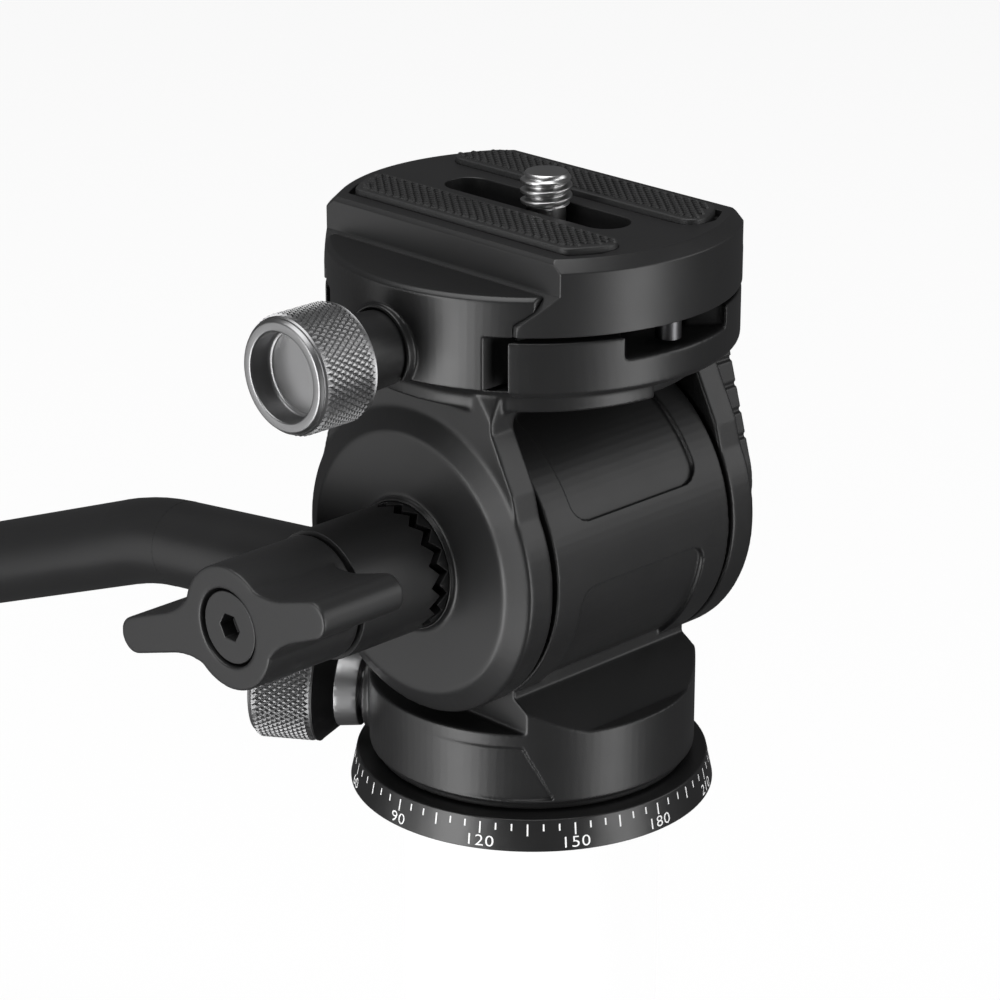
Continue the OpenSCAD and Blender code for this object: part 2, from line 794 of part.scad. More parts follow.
module pan_housing() {
    color("#232324")
        difference() {
            union() {
                on_tilt_axis()
                    difference() {
                        rod_x(-drum_half, drum_half, drum_r);
                        front_and_back() {
                            drum_panel(panel_high_angle, panel_high_arc);
                            drum_panel(-panel_low_angle, panel_low_arc);
                        }
                    }
                skirt();
                intersection() {
                    on_pan_lock()
                        rod_z(skirt_r - overrun, skirt_r + lock_boss_h, lock_boss_r);
                    rod_z(housing_z, tilt_z, skirt_r + lock_boss_h + overrun);
                }
            }
            wall_recess();
            on_tilt_axis()
                rod_x(-drum_half - overrun, drum_half + overrun, cavity_r);
            rod_z(seat_z, tilt_z, spindle_washer_r + run_gap + seat_gap);
            rod_z(housing_z - overrun, seat_z + overrun, post_r + run_gap);
            rod_z(housing_z - overrun, hub_bore_top_z + pan_bush_l, pan_bush_r + seat_gap);
            rod_z(housing_z - overrun, hub_bore_top_z, hub_r + run_gap);
            rod_z(housing_z - overrun, recess_top_z, flange_r + pan_gap);
            washer_z(housing_z - overrun, ring_h + damping_h + face_gap,
                damping_out_r + seat_gap, damping_in_r - seat_gap);
            on_pan_lock() {
                rod_z(0, skirt_r, brake_pad_r + run_gap);
                rod_z(brake_start + brake_pad_l, skirt_r + overrun, pan_stud_r + run_gap);
            }
        }
}

module pan_bush() {
    color("#b08d4c")
        washer_z(hub_bore_top_z, hub_bore_top_z + pan_bush_l - seat_gap, pan_bush_r, post_r + run_gap);
}

module pan_damping_ring() {
    color("#3a3a3a")
        washer_z(ring_h + face_gap, ring_h + damping_h, damping_out_r, damping_in_r);
}

module tilt_bush() {
    on_tilt_axis()
        tube_x(drum_half - tilt_bush_l, drum_half, cavity_r - seat_gap, shaft_r + run_gap);
}

module tilt_bush_left() {
    color("#b08d4c")
        left_side()
            tilt_bush();
}

module tilt_bush_right() {
    color("#b08d4c")
        tilt_bush();
}

// Pan lock

module pan_brake_pad() {
    color("#6b5a3a")
        on_pan_lock()
            difference() {
                rod_z(0, brake_start + brake_pad_l - face_gap, brake_pad_r);
                rotate([0, -90, 0])
                    rotate([0, 0, -pan_lock_angle])
                        translate([0, 0, -pan_lock_z])
                            rod_z(0, hub_z + overrun, brake_start);
            }
}

module pan_lock_stud() {
    color("#8d8f92")
        on_pan_lock()
            rod_z(brake_start + brake_pad_l, pan_knob_x + pan_knob_l / 2, pan_stud_r);
}

module pan_lock_collar() {
    color("#a7a8aa")
        on_pan_lock()
            translate([0, 0, pan_neck_start])
                difference() {
                    cylinder(h = pan_neck_l, r1 = pan_neck_r, r2 = pan_neck_knob_r);
                    rod_z(-overrun, pan_neck_l + overrun, pan_stud_r + seat_gap);
                }
}

module pan_lock_knob() {
    color("#b4b5b7")
        on_pan_lock()
            difference() {
                union() {
                    translate([0, 0, pan_neck_start + pan_neck_l])
                        cylinder(h = pan_cone_l, r1 = pan_neck_knob_r, r2 = pan_knob_r);
                    rod_z(pan_knob_x, pan_knob_x + pan_knob_l - pan_knob_edge, pan_knob_r);
                    translate([0, 0, pan_knob_x + pan_knob_l - pan_knob_edge])
                        cylinder(h = pan_knob_edge, r1 = pan_knob_r, r2 = pan_knob_r - pan_knob_edge);
                }
                rod_z(0, pan_knob_x + pan_knob_l / 2 + seat_gap, pan_stud_r + seat_gap);
            }
}

// Yoke

// Outline of a neck above the tilt axis, in Y and Z
module neck_profile() {
    top = platform_z - tilt_z;
    polygon([
        [-neck_root_half, neck_root_h], [-cheek_r / 2, 0], [cheek_r / 2, 0],
        [neck_root_half, neck_root_h], [neck_mid_half, neck_mid_h],
        [neck_top_half, neck_top_h], [neck_top_half, top],
        [-neck_top_half, top], [-neck_top_half, neck_top_h], [-neck_mid_half, neck_mid_h]
    ]);
}

module cheek() {
    on_tilt_axis() {
        rod_x(cheek_in, cheek_flat, cheek_r);
        rod_x(cheek_flat, cheek_out, cheek_r, cheek_face_r);
    }
    intersection() {
        on_tilt_axis()
            slab_x(cheek_in, cheek_flat)
                neck_profile();
        translate([0, 0, tilt_z])
            cylinder(h = platform_z - tilt_z, r1 = neck_spread_r, r2 = collar_r);
    }
    // fillet in the corner of the arch
    intersection() {
        slab_y(neck_top_half)
            difference() {
                translate([cheek_in - arch_r, collar_z - arch_r])
                    square([arch_r + cheek_rim_t / 2, arch_r + collar_h / 2]);
                translate([cheek_in - arch_r, collar_z - arch_r])
                    circle(r = arch_r);
            }
        rod_z(tilt_z, platform_z, collar_r);
    }
}

// Concave fillet between the collar and the platform, on a circle of radius r
module collar_flare(r) {
    rotate_extrude()
        difference() {
            translate([r - flare_r, platform_z - flare_r])
                square([2 * flare_r, flare_r + platform_edge / 2]);
            translate([r + flare_r, platform_z - flare_r])
                circle(r = flare_r);
        }
}

module collar() {
    rod_z(collar_z, platform_z, collar_low_r);
    collar_flare(collar_low_r);
    intersection() {
        union() {
            rod_z(collar_z, platform_z, collar_r);
            collar_flare(collar_r);
        }
        translate([-platform_r - collar_end_x, -platform_r, tilt_z])
            cube([platform_r, 2 * platform_r, platform_top - tilt_z]);
    }
}

// Space between the jaws, in X and Z, for the plate with a gap round it
module dovetail_space(gap) {
    polygon([
        [-foot_half - gap, platform_top], [foot_half + gap, platform_top],
        [foot_half + gap, plate_z + foot_h + gap / 2],
        [plate_half + gap, plate_z + foot_h + flank_h + gap / 2],
        [plate_half + gap, plate_top + overrun], [-plate_half - gap, plate_top + overrun],
        [-plate_half - gap, plate_z + foot_h + flank_h + gap / 2],
        [-foot_half - gap, plate_z + foot_h + gap / 2]
    ]);
}

module fixed_jaw() {
    difference() {
        intersection() {
            rod_z(platform_top - overrun, platform_top + fixed_jaw_h, platform_r);
            translate([pocket_x, -platform_r, platform_z])
                cube([platform_r, 2 * platform_r, plate_top - platform_z]);
        }
        slab_y(platform_r + overrun)
            dovetail_space(clamp_gap);
    }
}

module notch() {
    rim = platform_r + overrun;
    translate([0, 0, platform_z + notch_floor])
        linear_extrude(platform_t)
            polygon([
                [-notch_half, -rim], [notch_half, -rim],
                [notch_half, notch_lip - platform_r], [notch_in_half, notch_slant - platform_r],
                [notch_in_half, notch_depth - platform_r], [-notch_in_half, notch_depth - platform_r],
                [-notch_in_half, notch_slant - platform_r], [-notch_half, notch_lip - platform_r]
            ]);
}

module platform() {
    translate([0, 0, platform_z])
        cylinder(h = platform_edge, r1 = platform_r - platform_edge, r2 = platform_r);
    rod_z(platform_z + platform_edge, platform_top, platform_r);
    translate([-island_x, -island_y, platform_top - overrun])
        cube([2 * island_x, 2 * island_y, island_h + overrun]);
    fixed_jaw();
}

module guide_pin_places() {
    on_clamp_axis()
        for (y = [-guide_pin_y, guide_pin_y])
            translate([0, y, 0])
                children();
}

module yoke() {
    color("#232324")
        difference() {
            union() {
                cheek();
                left_side()
                    cheek();
                on_tilt_axis()
                    rod_x(-boss_out, -cheek_out + overrun, boss_r);
                collar();
                difference() {
                    platform();
                    translate([-platform_r - pocket_x, -pocket_half, platform_z])
                        cube([platform_r, 2 * pocket_half, platform_t + overrun]);
                    front_and_back()
                        notch();
                }
            }
            on_tilt_axis() {
                rod_x(-shaft_end, shaft_end, shaft_r + seat_gap);
                rod_x(-boss_out - overrun, cheek_out + overrun, bolt_hole_r);
                rod_x(-boss_out - overrun, -boss_out + rosette_seat, rosette_r + seat_gap);
            }
            on_clamp_axis()
                rod_x(-pocket_x - overrun, clamp_stud_in - pocket_x, clamp_stud_r + seat_gap);
            guide_pin_places()
                rod_x(-pocket_x - overrun, guide_pin_seat - pocket_x, guide_pin_r + seat_gap);
        }
}

module tilt_shaft() {
    color("#8d8f92")
        on_tilt_axis()
            difference() {
                rod_x(-shaft_end, shaft_end, shaft_r);
                rod_x(-shaft_end - overrun, -shaft_bore_end, wing_bolt_r + run_gap);
                rod_x(shaft_bore_end, shaft_end + overrun, lock_stud_r + run_gap);
            }
}

module tilt_washer() {
    on_tilt_axis()
        tube_x(drum_half + face_gap, cheek_in, tilt_washer_r, shaft_r + seat_gap);
}

module tilt_washer_left() {
    color("#d8d4c8")
        left_side()
            tilt_washer();
}

module tilt_washer_right() {
    color("#d8d4c8")
        tilt_washer();
}

// V grooves across a face, whose points lie at tip_x and open toward open_x
module tooth_grooves(tip_x, open_x, turn) {
    rise = abs(open_x - tip_x);
    half = tooth_w / 2 * rise / tooth_h;
    for (i = [0 : tooth_count / 2 - 1])
        rotate([i * 360 / tooth_count + turn, 0, 0])
            linear_extrude(2 * (barrel_r + overrun), center = true)
                polygon([[tip_x, 0], [open_x, half], [open_x, -half]]);
}

module rosette_ring() {
    color("#2b2b2c")
        on_tilt_axis()
            difference() {
                tube_x(-rosette_face, -boss_out + rosette_seat, rosette_r, rosette_in_r);
                tooth_grooves(-boss_out, -rosette_face - overrun, 0);
            }
}

module jaw_guide_pins() {
    color("#8d8f92")
        guide_pin_places()
            rod_x(-jaw_in - guide_pin_out, guide_pin_seat - pocket_x, guide_pin_r);
}

// Tilt lock

module tilt_pressure_washer() {
    color("#8d8f92")
        on_tilt_axis()
            tube_x(cheek_out + face_gap, lever_in - face_gap, pressure_washer_r, lock_stud_r + run_gap);
}

// Angle at which the lever's sides lean in
function lever_lean() = asin((lever_hub_r - lever_tip_r) / lever_l);

module lever_profile() {
    hub = lever_hub_r - seat_gap;
    tip = lever_tip_r - seat_gap;
    lean = lever_lean();
    circle(r = lever_hub_r);
    translate([0, lever_l])
        circle(r = lever_tip_r);
    polygon([
        [-hub * cos(lean), hub * sin(lean)], [hub * cos(lean), hub * sin(lean)],
        [tip * cos(lean), lever_l + tip * sin(lean)], [-tip * cos(lean), lever_l + tip * sin(lean)]
    ]);
}

module lever_grooves() {
    lean = lever_lean();
    for (side = [-1, 1], i = [0 : lever_groove_count - 1])
        translate([0, side * lever_hub_r * cos(lean), lever_hub_r * sin(lean)])
            rotate([side * lean, 0, 0])
                translate([0, 0, (i + 1) * lever_groove_step])
                    rod_x(lever_in - overrun, lever_in + lever_t + overrun, lever_groove_r);
}

module tilt_lock_lever() {
    color("#1d1d1e")
        on_tilt_axis()
            difference() {
                slab_x(lever_in, lever_in + lever_t)
                    lever_profile();
                lever_grooves();
                rod_x(lever_in - overrun, lever_in + lever_t + overrun, lock_stud_r + seat_gap);
                rod_x(lever_in + lever_t - lever_cap_t + lever_cap_out,
                    lever_in + lever_t + overrun, lever_cap_r + seat_gap);
            }
}

module tilt_lock_stud() {
    color("#8d8f92")
        on_tilt_axis()
            rod_x(lock_stud_end, lever_in + lever_t - lever_cap_t + lever_cap_out, lock_stud_r);
}

module lever_cap() {
    color("#2b2b2c")
        on_tilt_axis()
            rod_x(lever_in + lever_t - lever_cap_t + lever_cap_out,
                lever_in + lever_t + lever_cap_out, lever_cap_r);
}

// Clamp

module clamp_jaw() {
    color("#232324")
        difference() {
            union() {
                intersection() {
                    rod_z(jaw_z, plate_z - clamp_gap, jaw_r);
                    translate([-jaw_r - jaw_in, -jaw_half, jaw_z])
                        cube([jaw_r, 2 * jaw_half, plate_z]);
                }
                intersection() {
                    union() {
                        rod_z(plate_z - clamp_gap, plate_z + lip_h - lip_edge, jaw_r);
                        translate([0, 0, plate_z + lip_h - lip_edge])
                            cylinder(h = lip_edge, r1 = jaw_r, r2 = jaw_r - lip_edge);
                    }
                    difference() {
                        translate([-jaw_r - plate_half, -lip_half, platform_z])
                            cube([jaw_r, 2 * lip_half, plate_top - platform_z]);
                        slab_y(lip_half + overrun)
                            dovetail_space(clamp_gap);
                    }
                }
                intersection() {
                    on_clamp_axis()
                        rod_x(-jaw_r - jaw_boss_h, -jaw_r + overrun, jaw_boss_r);
                    rod_z(jaw_z, plate_top, 2 * jaw_r);
                }
            }
            on_clamp_axis() {
                rod_x(-2 * jaw_r, -clamp_collar_x + clamp_gap, clamp_collar_r + 2 * clamp_gap);
                rod_x(-2 * jaw_r, 0, clamp_stud_r + clamp_gap);
            }
            guide_pin_places()
                rod_x(-jaw_in - guide_pin_out - clamp_gap, 0, guide_pin_r + run_gap);
        }
}

// Turns +Z to face outward along the clamp screw
module on_clamp_screw() {
    on_clamp_axis()
        rotate([0, -90, 0])
            children();
}

module clamp_knob() {
    bevel_r = clamp_knob_r - clamp_knob_bevel;
    floor_x = clamp_knob_end - clamp_cup_h;
    corner = clamp_cup_h / 3;
    color("#77797b")
        on_clamp_screw()
            difference() {
                rotate_extrude()
                    polygon([
                        [0, clamp_knob_x], [clamp_knob_r - clamp_knob_bevel / 2, clamp_knob_x],
                        [clamp_knob_r, clamp_knob_x + clamp_knob_bevel / 2],
                        [clamp_knob_r, clamp_knob_end - clamp_knob_edge], [bevel_r, clamp_knob_end],
                        [clamp_cup_r, clamp_knob_end], [clamp_cup_r, floor_x + corner],
                        [clamp_cup_r - corner, floor_x], [0, floor_x]
                    ]);
                rod_z(0, clamp_knob_x + clamp_knob_l / 2, clamp_stud_r + seat_gap);
            }
}

module clamp_collar() {
    color("#1d1d1e")
        on_clamp_screw()
            translate([0, 0, clamp_collar_x])
                difference() {
                    cylinder(h = clamp_collar_l, r1 = clamp_collar_r, r2 = clamp_collar_knob_r);
                    rod_z(-overrun, clamp_collar_l + overrun, clamp_stud_r + seat_gap);
                }
}

module clamp_stud() {
    color("#8d8f92")
        on_clamp_screw()
            rod_z(pocket_x - clamp_stud_in + overrun, clamp_knob_x + clamp_knob_l / 2 - seat_gap, clamp_stud_r);
}

// Quick plate

module plate_profile() {
    polygon([
        [-foot_half, plate_z], [foot_half, plate_z], [foot_half, plate_z + foot_h],
        [plate_half, plate_z + foot_h + flank_h], [plate_half, plate_top - plate_side_edge],
        [plate_half - plate_side_edge, plate_top], [plate_side_edge - plate_half, plate_top],
        [-plate_half, plate_top - plate_side_edge], [-plate_half, plate_z + foot_h + flank_h],
        [-foot_half, plate_z + foot_h]
    ]);
}

// Outline of both pads with a gap round them
module pad_shapes(gap) {
    intersection() {
        for (side = [-1, 1])
            translate([side * (pad_in + pad_out) / 2, 0])
                round_rect((pad_out - pad_in) / 2 + gap, pad_end_r - pad_corner_r + gap, pad_corner_r + gap);
        circle(r = pad_end_r + gap);
    }
}

module stop_pin_places() {
    front_and_back()
        translate([0, -stop_pin_y, 0])
            children();
}

module quick_plate() {
    color("#232324")
        difference() {
            intersection() {
                union() {
                    rod_z(plate_z, plate_top - plate_edge, plate_r);
                    translate([0, 0, plate_top - plate_edge])
                        cylinder(h = plate_edge, r1 = plate_r, r2 = plate_r - plate_edge);
                }
                slab_y(plate_r)
                    plate_profile();
            }
            translate([0, 0, plate_z - overrun])
                linear_extrude(plate_t + 2 * overrun)
                    slot_shape(slot_half);
            translate([0, 0, plate_z - overrun])
                linear_extrude(web_z - plate_z + overrun)
                    slot_shape(camera_head_r + 2 * clamp_gap);
            translate([0, 0, plate_top - pad_sink])
                linear_extrude(pad_sink + overrun)
                    pad_shapes(pad_gap);
            stop_pin_places()
                rod_z(plate_z - overrun, plate_z + stop_pin_seat, stop_pin_r + seat_gap);
        }
}

module plate_pads() {
    color("#18181a")
        translate([0, 0, plate_top - pad_sink])
            linear_extrude(pad_sink + pad_proud)
                pad_shapes(0);
}

module stop_pins() {
    color("#5c5e60")
        stop_pin_places()
            rod_z(plate_z - stop_pin_out, plate_z + stop_pin_seat, stop_pin_r);
}

module screw_washer() {
    color("#d8d4c8")
        translate([0, -camera_y, 0])
            washer_z(web_z - face_gap - screw_washer_t, web_z - face_gap, screw_washer_r, camera_neck_r + run_gap);
}

module camera_screw() {
    thread_z = plate_top + camera_thread_gap;
    tip_z = plate_top + camera_out;
    color("#8d8f92")
        translate([0, -camera_y, 0])
            difference() {
                union() {
                    rod_z(head_z, head_z + camera_head_h, camera_head_r);
                    rod_z(head_z, thread_z + overrun, camera_neck_r);
                    rod_z(thread_z, tip_z - camera_tip_h, camera_thread_r);
                    translate([0, 0, tip_z - camera_tip_h])
                        cylinder(h = camera_tip_h, r1 = camera_thread_r, r2 = camera_tip_r);
                }
                translate([-coin_slot_w / 2, -camera_head_r - overrun, head_z - overrun])
                    cube([coin_slot_w, 2 * (camera_head_r + overrun), coin_slot_h + overrun]);
            }
}

// Handle

// Turns +Y to run along the bar from the tilt axis
module on_bar() {
    on_tilt_axis()
        translate([-bar_x, 0, 0])
            rotate([-bar_slope, 0, 0])
                children();
}

// Turns +Z to run along the bar past its bend
module on_far_bar() {
    on_bar()
        translate([0, bar_bend_at - bend_tangent + bar_bend_r * sin(bar_bend),
            -bar_bend_r * (1 - cos(bar_bend))])
            rotate([-90 - bar_bend, 0, 0])
                children();
}

module handle_barrel() {
    color("#232324")
        difference() {
            on_tilt_axis()
                difference() {
                    tube_x(-barrel_end, -barrel_start, barrel_r, bolt_hole_r);
                    tooth_grooves(-barrel_start - tooth_h, -barrel_start + overrun, 180 / tooth_count);
                }
            on_bar()
                rotate([-90, 0, 0])
                    rod_z(spigot_start - seat_gap, barrel_r + overrun, spigot_r + seat_gap);
        }
}

// The straight lengths are a hair thinner than the bend, and run into it
module pan_bar() {
    straight_r = bar_r - seat_gap;
    color("#202021")
        union() {
            difference() {
                union() {
                    on_bar()
                        translate([0, bar_bend_at - bend_tangent, -bar_bend_r])
                            rotate([90, 0, 90])
                                rotate([0, 0, 90 - bar_bend])
                                    rotate_extrude(angle = bar_bend)
                                        translate([bar_bend_r, 0])
                                            circle(r = bar_r);
                    on_bar()
                        rotate([-90, 0, 0])
                            rod_z(spigot_start, bar_bend_at - bend_tangent + overrun, straight_r);
                    on_far_bar()
                        rod_z(-overrun, bar_l, straight_r);
                }
                on_tilt_axis()
                    rod_x(-barrel_end - overrun, -barrel_start, barrel_r + seat_gap);
            }
            on_bar()
                rotate([-90, 0, 0])
                    rod_z(spigot_start, barrel_r + overrun, spigot_r);
        }
}

module handle_grip() {
    step = (grip_l - 2 * grip_taper) / (grip_groove_count - 1);
    color("#18181a")
        on_far_bar()
            translate([0, 0, grip_start])
                difference() {
                    union() {
                        cylinder(h = grip_taper, r1 = grip_end_r, r2 = grip_r);
                        rod_z(grip_taper, grip_l - grip_taper, grip_r);
                        translate([0, 0, grip_l - grip_taper])
                            cylinder(h = grip_taper, r1 = grip_r, r2 = grip_end_r);
                    }
                    rod_z(-overrun, grip_l + overrun, bar_r + seat_gap);
                    for (i = [0 : grip_groove_count - 1])
                        translate([0, 0, grip_taper + i * step - grip_groove_w / 2])
                            washer_z(0, grip_groove_w, grip_r + overrun, grip_r - grip_groove_h);
                }
}

module grip_cap() {
    color("#18181a")
        on_far_bar()
            rod_z(bar_l, bar_l + grip_cap_t, grip_end_r);
}

module handle_washer() {
    color("#8d8f92")
        on_tilt_axis()
            tube_x(-wing_x + face_gap, -wing_x + face_gap + handle_washer_t,
                handle_washer_r, wing_bolt_r + run_gap);
}

// Outline of one wing, which runs out along +Y to the radius tip
module wing_profile(tip) {
    root = wing_hub_r * wing_root_share;
    end = tip - wing_tip_half;
    from = [root * cos(wing_root_angle), root * sin(wing_root_angle)];
    bend = [wing_hub_r, wing_waist_half];
    to = [wing_waist_x, wing_waist_half];
    steps = 8;
    side = [for (i = [0 : steps])
        let (t = i / steps)
            (1 - t) * (1 - t) * from + 2 * t * (1 - t) * bend + t * t * to];
    half_tip = [for (i = [0 : steps])
        let (a = 90 - i * 90 / steps)
            [end + wing_tip_half * cos(a), wing_tip_half * sin(a)]];
    upper = concat(side, half_tip);
    count = len(upper);
    polygon(concat(upper, [for (i = [count - 2 : -1 : 0]) [upper[i][0], -upper[i][1]]]));
}

module wing_knob() {
    color("#232324")
        on_tilt_axis()
            difference() {
                union() {
                    rod_x(-wing_end, -wing_x, wing_hub_r);
                    rotate([-wing_long_angle, 0, 0])
                        slab_x(-wing_end, -wing_x - wing_back_in)
                            wing_profile(wing_long_r);
                    rotate([180 - wing_short_angle, 0, 0])
                        slab_x(-wing_end, -wing_x - wing_back_in)
                            wing_profile(wing_short_r);
                }
                rod_x(-wing_end - overrun, -wing_x + overrun, wing_bolt_r + seat_gap);
                rod_x(-wing_end - overrun, -bolt_head_start + seat_gap, wing_bolt_head_r + wing_bolt_gap);
            }
}

module wing_bolt() {
    color("#2b2b2c")
        on_tilt_axis()
            difference() {
                union() {
                    rod_x(-bolt_head_end, -bolt_head_start, wing_bolt_head_r);
                    rod_x(-bolt_head_end, -wing_bolt_end, wing_bolt_r);
                }
                translate([-bolt_head_end - overrun, 0, 0])
                    rotate([30, 0, 0])
                        rotate([0, 90, 0])
                            cylinder(h = wing_socket_h + overrun, r = wing_socket_af / 2 / cos(30), $fn = 6);
            }
}

base_ring();
mount_bush();
pan_spindle();
base_screws();
pan_thrust_washer();
spindle_washer();
spindle_nut();
pan_housing();
pan_bush();
pan_damping_ring();
tilt_bush_left();
tilt_bush_right();
pan_brake_pad();
pan_lock_knob();
pan_lock_collar();
pan_lock_stud();
yoke();
tilt_shaft();
tilt_washer_left();
tilt_washer_right();
rosette_ring();
jaw_guide_pins();
tilt_pressure_washer();
tilt_lock_lever();
tilt_lock_stud();
lever_cap();
clamp_jaw();
clamp_knob();
clamp_collar();
clamp_stud();
quick_plate();
plate_pads();
stop_pins();
screw_washer();
camera_screw();
handle_barrel();
pan_bar();
handle_grip();
grip_cap();
handle_washer();
wing_knob();
wing_bolt();
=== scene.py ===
import math

import bmesh
import bpy
from mathutils import Matrix, Vector


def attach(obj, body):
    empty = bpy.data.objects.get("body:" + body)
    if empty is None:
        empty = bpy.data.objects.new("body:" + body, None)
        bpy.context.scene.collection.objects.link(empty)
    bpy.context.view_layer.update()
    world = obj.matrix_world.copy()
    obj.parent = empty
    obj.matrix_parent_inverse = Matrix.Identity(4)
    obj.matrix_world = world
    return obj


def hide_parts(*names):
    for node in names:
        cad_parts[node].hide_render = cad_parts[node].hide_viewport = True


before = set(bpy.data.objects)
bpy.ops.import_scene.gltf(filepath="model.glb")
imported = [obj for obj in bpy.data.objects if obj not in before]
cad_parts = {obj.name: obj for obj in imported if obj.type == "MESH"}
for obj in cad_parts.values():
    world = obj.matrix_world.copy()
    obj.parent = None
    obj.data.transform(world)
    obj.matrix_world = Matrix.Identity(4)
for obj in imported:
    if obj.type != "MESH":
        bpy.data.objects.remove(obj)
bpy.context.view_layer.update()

# Base ring. A turned ring of black anodised aluminium, screwed to the flange of the
# pan spindle from below. Its cone carries a white degree dial, printed on the finish.
MM = 0.001
RING_R, RING_TOP_R, RING_H = 23.3, 22.45, 4.0
TICK_STEP, LONG_EVERY, DIAL_TURN = 5.0, 3, -1.5
TICK_HALF, LONG_LOW, SHORT_LOW, TICK_HIGH = 0.10, 2.0, 2.6, 3.45
NUMBER_STEP, NUMBER_SIZE, NUMBER_LOW, NUMBER_WIDEN = 30, 1.95, 0.45, 1.25
PRINT_LIFT, PRINT_SINK = 0.012, -0.05


def node_group(name, inputs, outputs):
    """An empty shader group with its named sockets, and its input and output nodes."""
    group = bpy.data.node_groups.new(name, "ShaderNodeTree")
    for label, kind, value in inputs:
        socket = group.interface.new_socket(label, in_out="INPUT", socket_type=kind)
        socket.default_value = value
    for label, kind in outputs:
        group.interface.new_socket(label, in_out="OUTPUT", socket_type=kind)
    return group, group.nodes.new("NodeGroupInput"), group.nodes.new("NodeGroupOutput")


def math_node(nodes, links, operation, first, second):
    """One sum between two numbers or sockets."""
    node = nodes.new("ShaderNodeMath")
    node.operation = operation
    for socket, value in zip(node.inputs, (first, second)):
        if isinstance(value, (int, float)):
            socket.default_value = value
        else:
            links.new(value, socket)
    return node.outputs[0]


# The fine even grain of blasted and anodised metal: a height for the bump, and a
# mask of larger, softer cloudiness for the gloss.
blasted_grain, grain_in, grain_out = node_group(
    "blasted_grain",
    [("Grain per metre", "NodeSocketFloat", 5200.0), ("Cloud per metre", "NodeSocketFloat", 160.0)],
    [("Height", "NodeSocketFloat"), ("Cloud", "NodeSocketFloat")],
)
place = blasted_grain.nodes.new("ShaderNodeTexCoord")
for output, source, detail in (("Height", "Grain per metre", 3.0), ("Cloud", "Cloud per metre", 4.0)):
    noise = blasted_grain.nodes.new("ShaderNodeTexNoise")
    noise.inputs["Detail"].default_value = detail
    noise.inputs["Roughness"].default_value = 0.55
    blasted_grain.links.new(place.outputs["Object"], noise.inputs["Vector"])
    blasted_grain.links.new(grain_in.outputs[source], noise.inputs["Scale"])
    blasted_grain.links.new(noise.outputs["Fac"], grain_out.inputs[output])

# Where an edge is rounded over, as a mask: a painted highlight, the base colour is made paler there to stand
# for the light a rounded edge catches.
painted_edge_highlight, edge_in, edge_out = node_group(
    "painted_edge_highlight",
    [("Width", "NodeSocketFloat", 0.3 * MM), ("Strength", "NodeSocketFloat", 4.0)],
    [("Mask", "NodeSocketFloat")],
)
rounded = painted_edge_highlight.nodes.new("ShaderNodeBevel")
rounded.samples = 4
true_normal = painted_edge_highlight.nodes.new("ShaderNodeNewGeometry")
dot = painted_edge_highlight.nodes.new("ShaderNodeVectorMath")
dot.operation = "DOT_PRODUCT"
painted_edge_highlight.links.new(edge_in.outputs["Width"], rounded.inputs["Radius"])
painted_edge_highlight.links.new(rounded.outputs["Normal"], dot.inputs[0])
painted_edge_highlight.links.new(true_normal.outputs["Normal"], dot.inputs[1])
away = math_node(painted_edge_highlight.nodes, painted_edge_highlight.links, "SUBTRACT", 1.0, dot.outputs["Value"])
scaled = math_node(painted_edge_highlight.nodes, painted_edge_highlight.links, "MULTIPLY", away, edge_in.outputs["Strength"])
clamped = math_node(painted_edge_highlight.nodes, painted_edge_highlight.links, "MINIMUM", scaled, 1.0)
painted_edge_highlight.links.new(clamped, edge_out.inputs["Mask"])


def ramp(nodes, links, mask, low, high):
    """A value or colour that goes from low to high with the mask."""
    mix = nodes.new("ShaderNodeMix")
    if isinstance(low, (int, float)):
        mix.data_type = "FLOAT"
        mix.inputs["A"].default_value, mix.inputs["B"].default_value = low, high
        links.new(mask, mix.inputs["Factor"])
        return mix.outputs["Result"]
    mix.data_type = "RGBA"
    mix.inputs[6].default_value, mix.inputs[7].default_value = (*low, 1.0), (*high, 1.0)
    links.new(mask, mix.inputs["Factor"])
    return mix.outputs[2]


def finish(name, shade, roughness, metal=0.0, grain=5200.0, depth=0.006, edge=1.5, edge_lightening=2.2,
           specular=0.3, cloud=0.05, tint=1.02):
    """A surface with fine grain, uneven gloss and a painted highlight that makes its rounded edges paler:
    edge is how strong that painted highlight is, edge_lightening how much paler it makes the colour, and tint
    the share of blue in the shade."""
    material = bpy.data.materials.new(name)
    material.use_nodes = True
    nodes, links = material.node_tree.nodes, material.node_tree.links
    surface = nodes["Principled BSDF"]
    texture = nodes.new("ShaderNodeGroup")
    texture.node_tree = blasted_grain
    texture.inputs["Grain per metre"].default_value = grain
    edges = nodes.new("ShaderNodeGroup")
    edges.node_tree = painted_edge_highlight
    edges.inputs["Strength"].default_value = edge
    plain = (shade, shade, shade * tint)
    edge_highlight_colour = tuple(min(1.0, part * edge_lightening) for part in plain)
    # painted highlight: the base colour goes paler along rounded edges, standing for the light they catch
    links.new(ramp(nodes, links, edges.outputs["Mask"], plain, edge_highlight_colour), surface.inputs["Base Color"])
    links.new(ramp(nodes, links, texture.outputs["Cloud"], roughness - cloud, roughness + cloud),
              surface.inputs["Roughness"])
    bump = nodes.new("ShaderNodeBump")
    bump.inputs["Strength"].default_value = 1.0
    bump.inputs["Distance"].default_value = depth * MM
    links.new(texture.outputs["Height"], bump.inputs["Height"])
    links.new(bump.outputs["Normal"], surface.inputs["Normal"])
    surface.inputs["Metallic"].default_value = metal
    surface.inputs["Specular IOR Level"].default_value = specular
    return material


def finish_node(material, *names):
    """CAD pieces whose shape is right keep their mesh and take this material."""
    for name in names:
        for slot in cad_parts[name].material_slots:
            slot.material = material


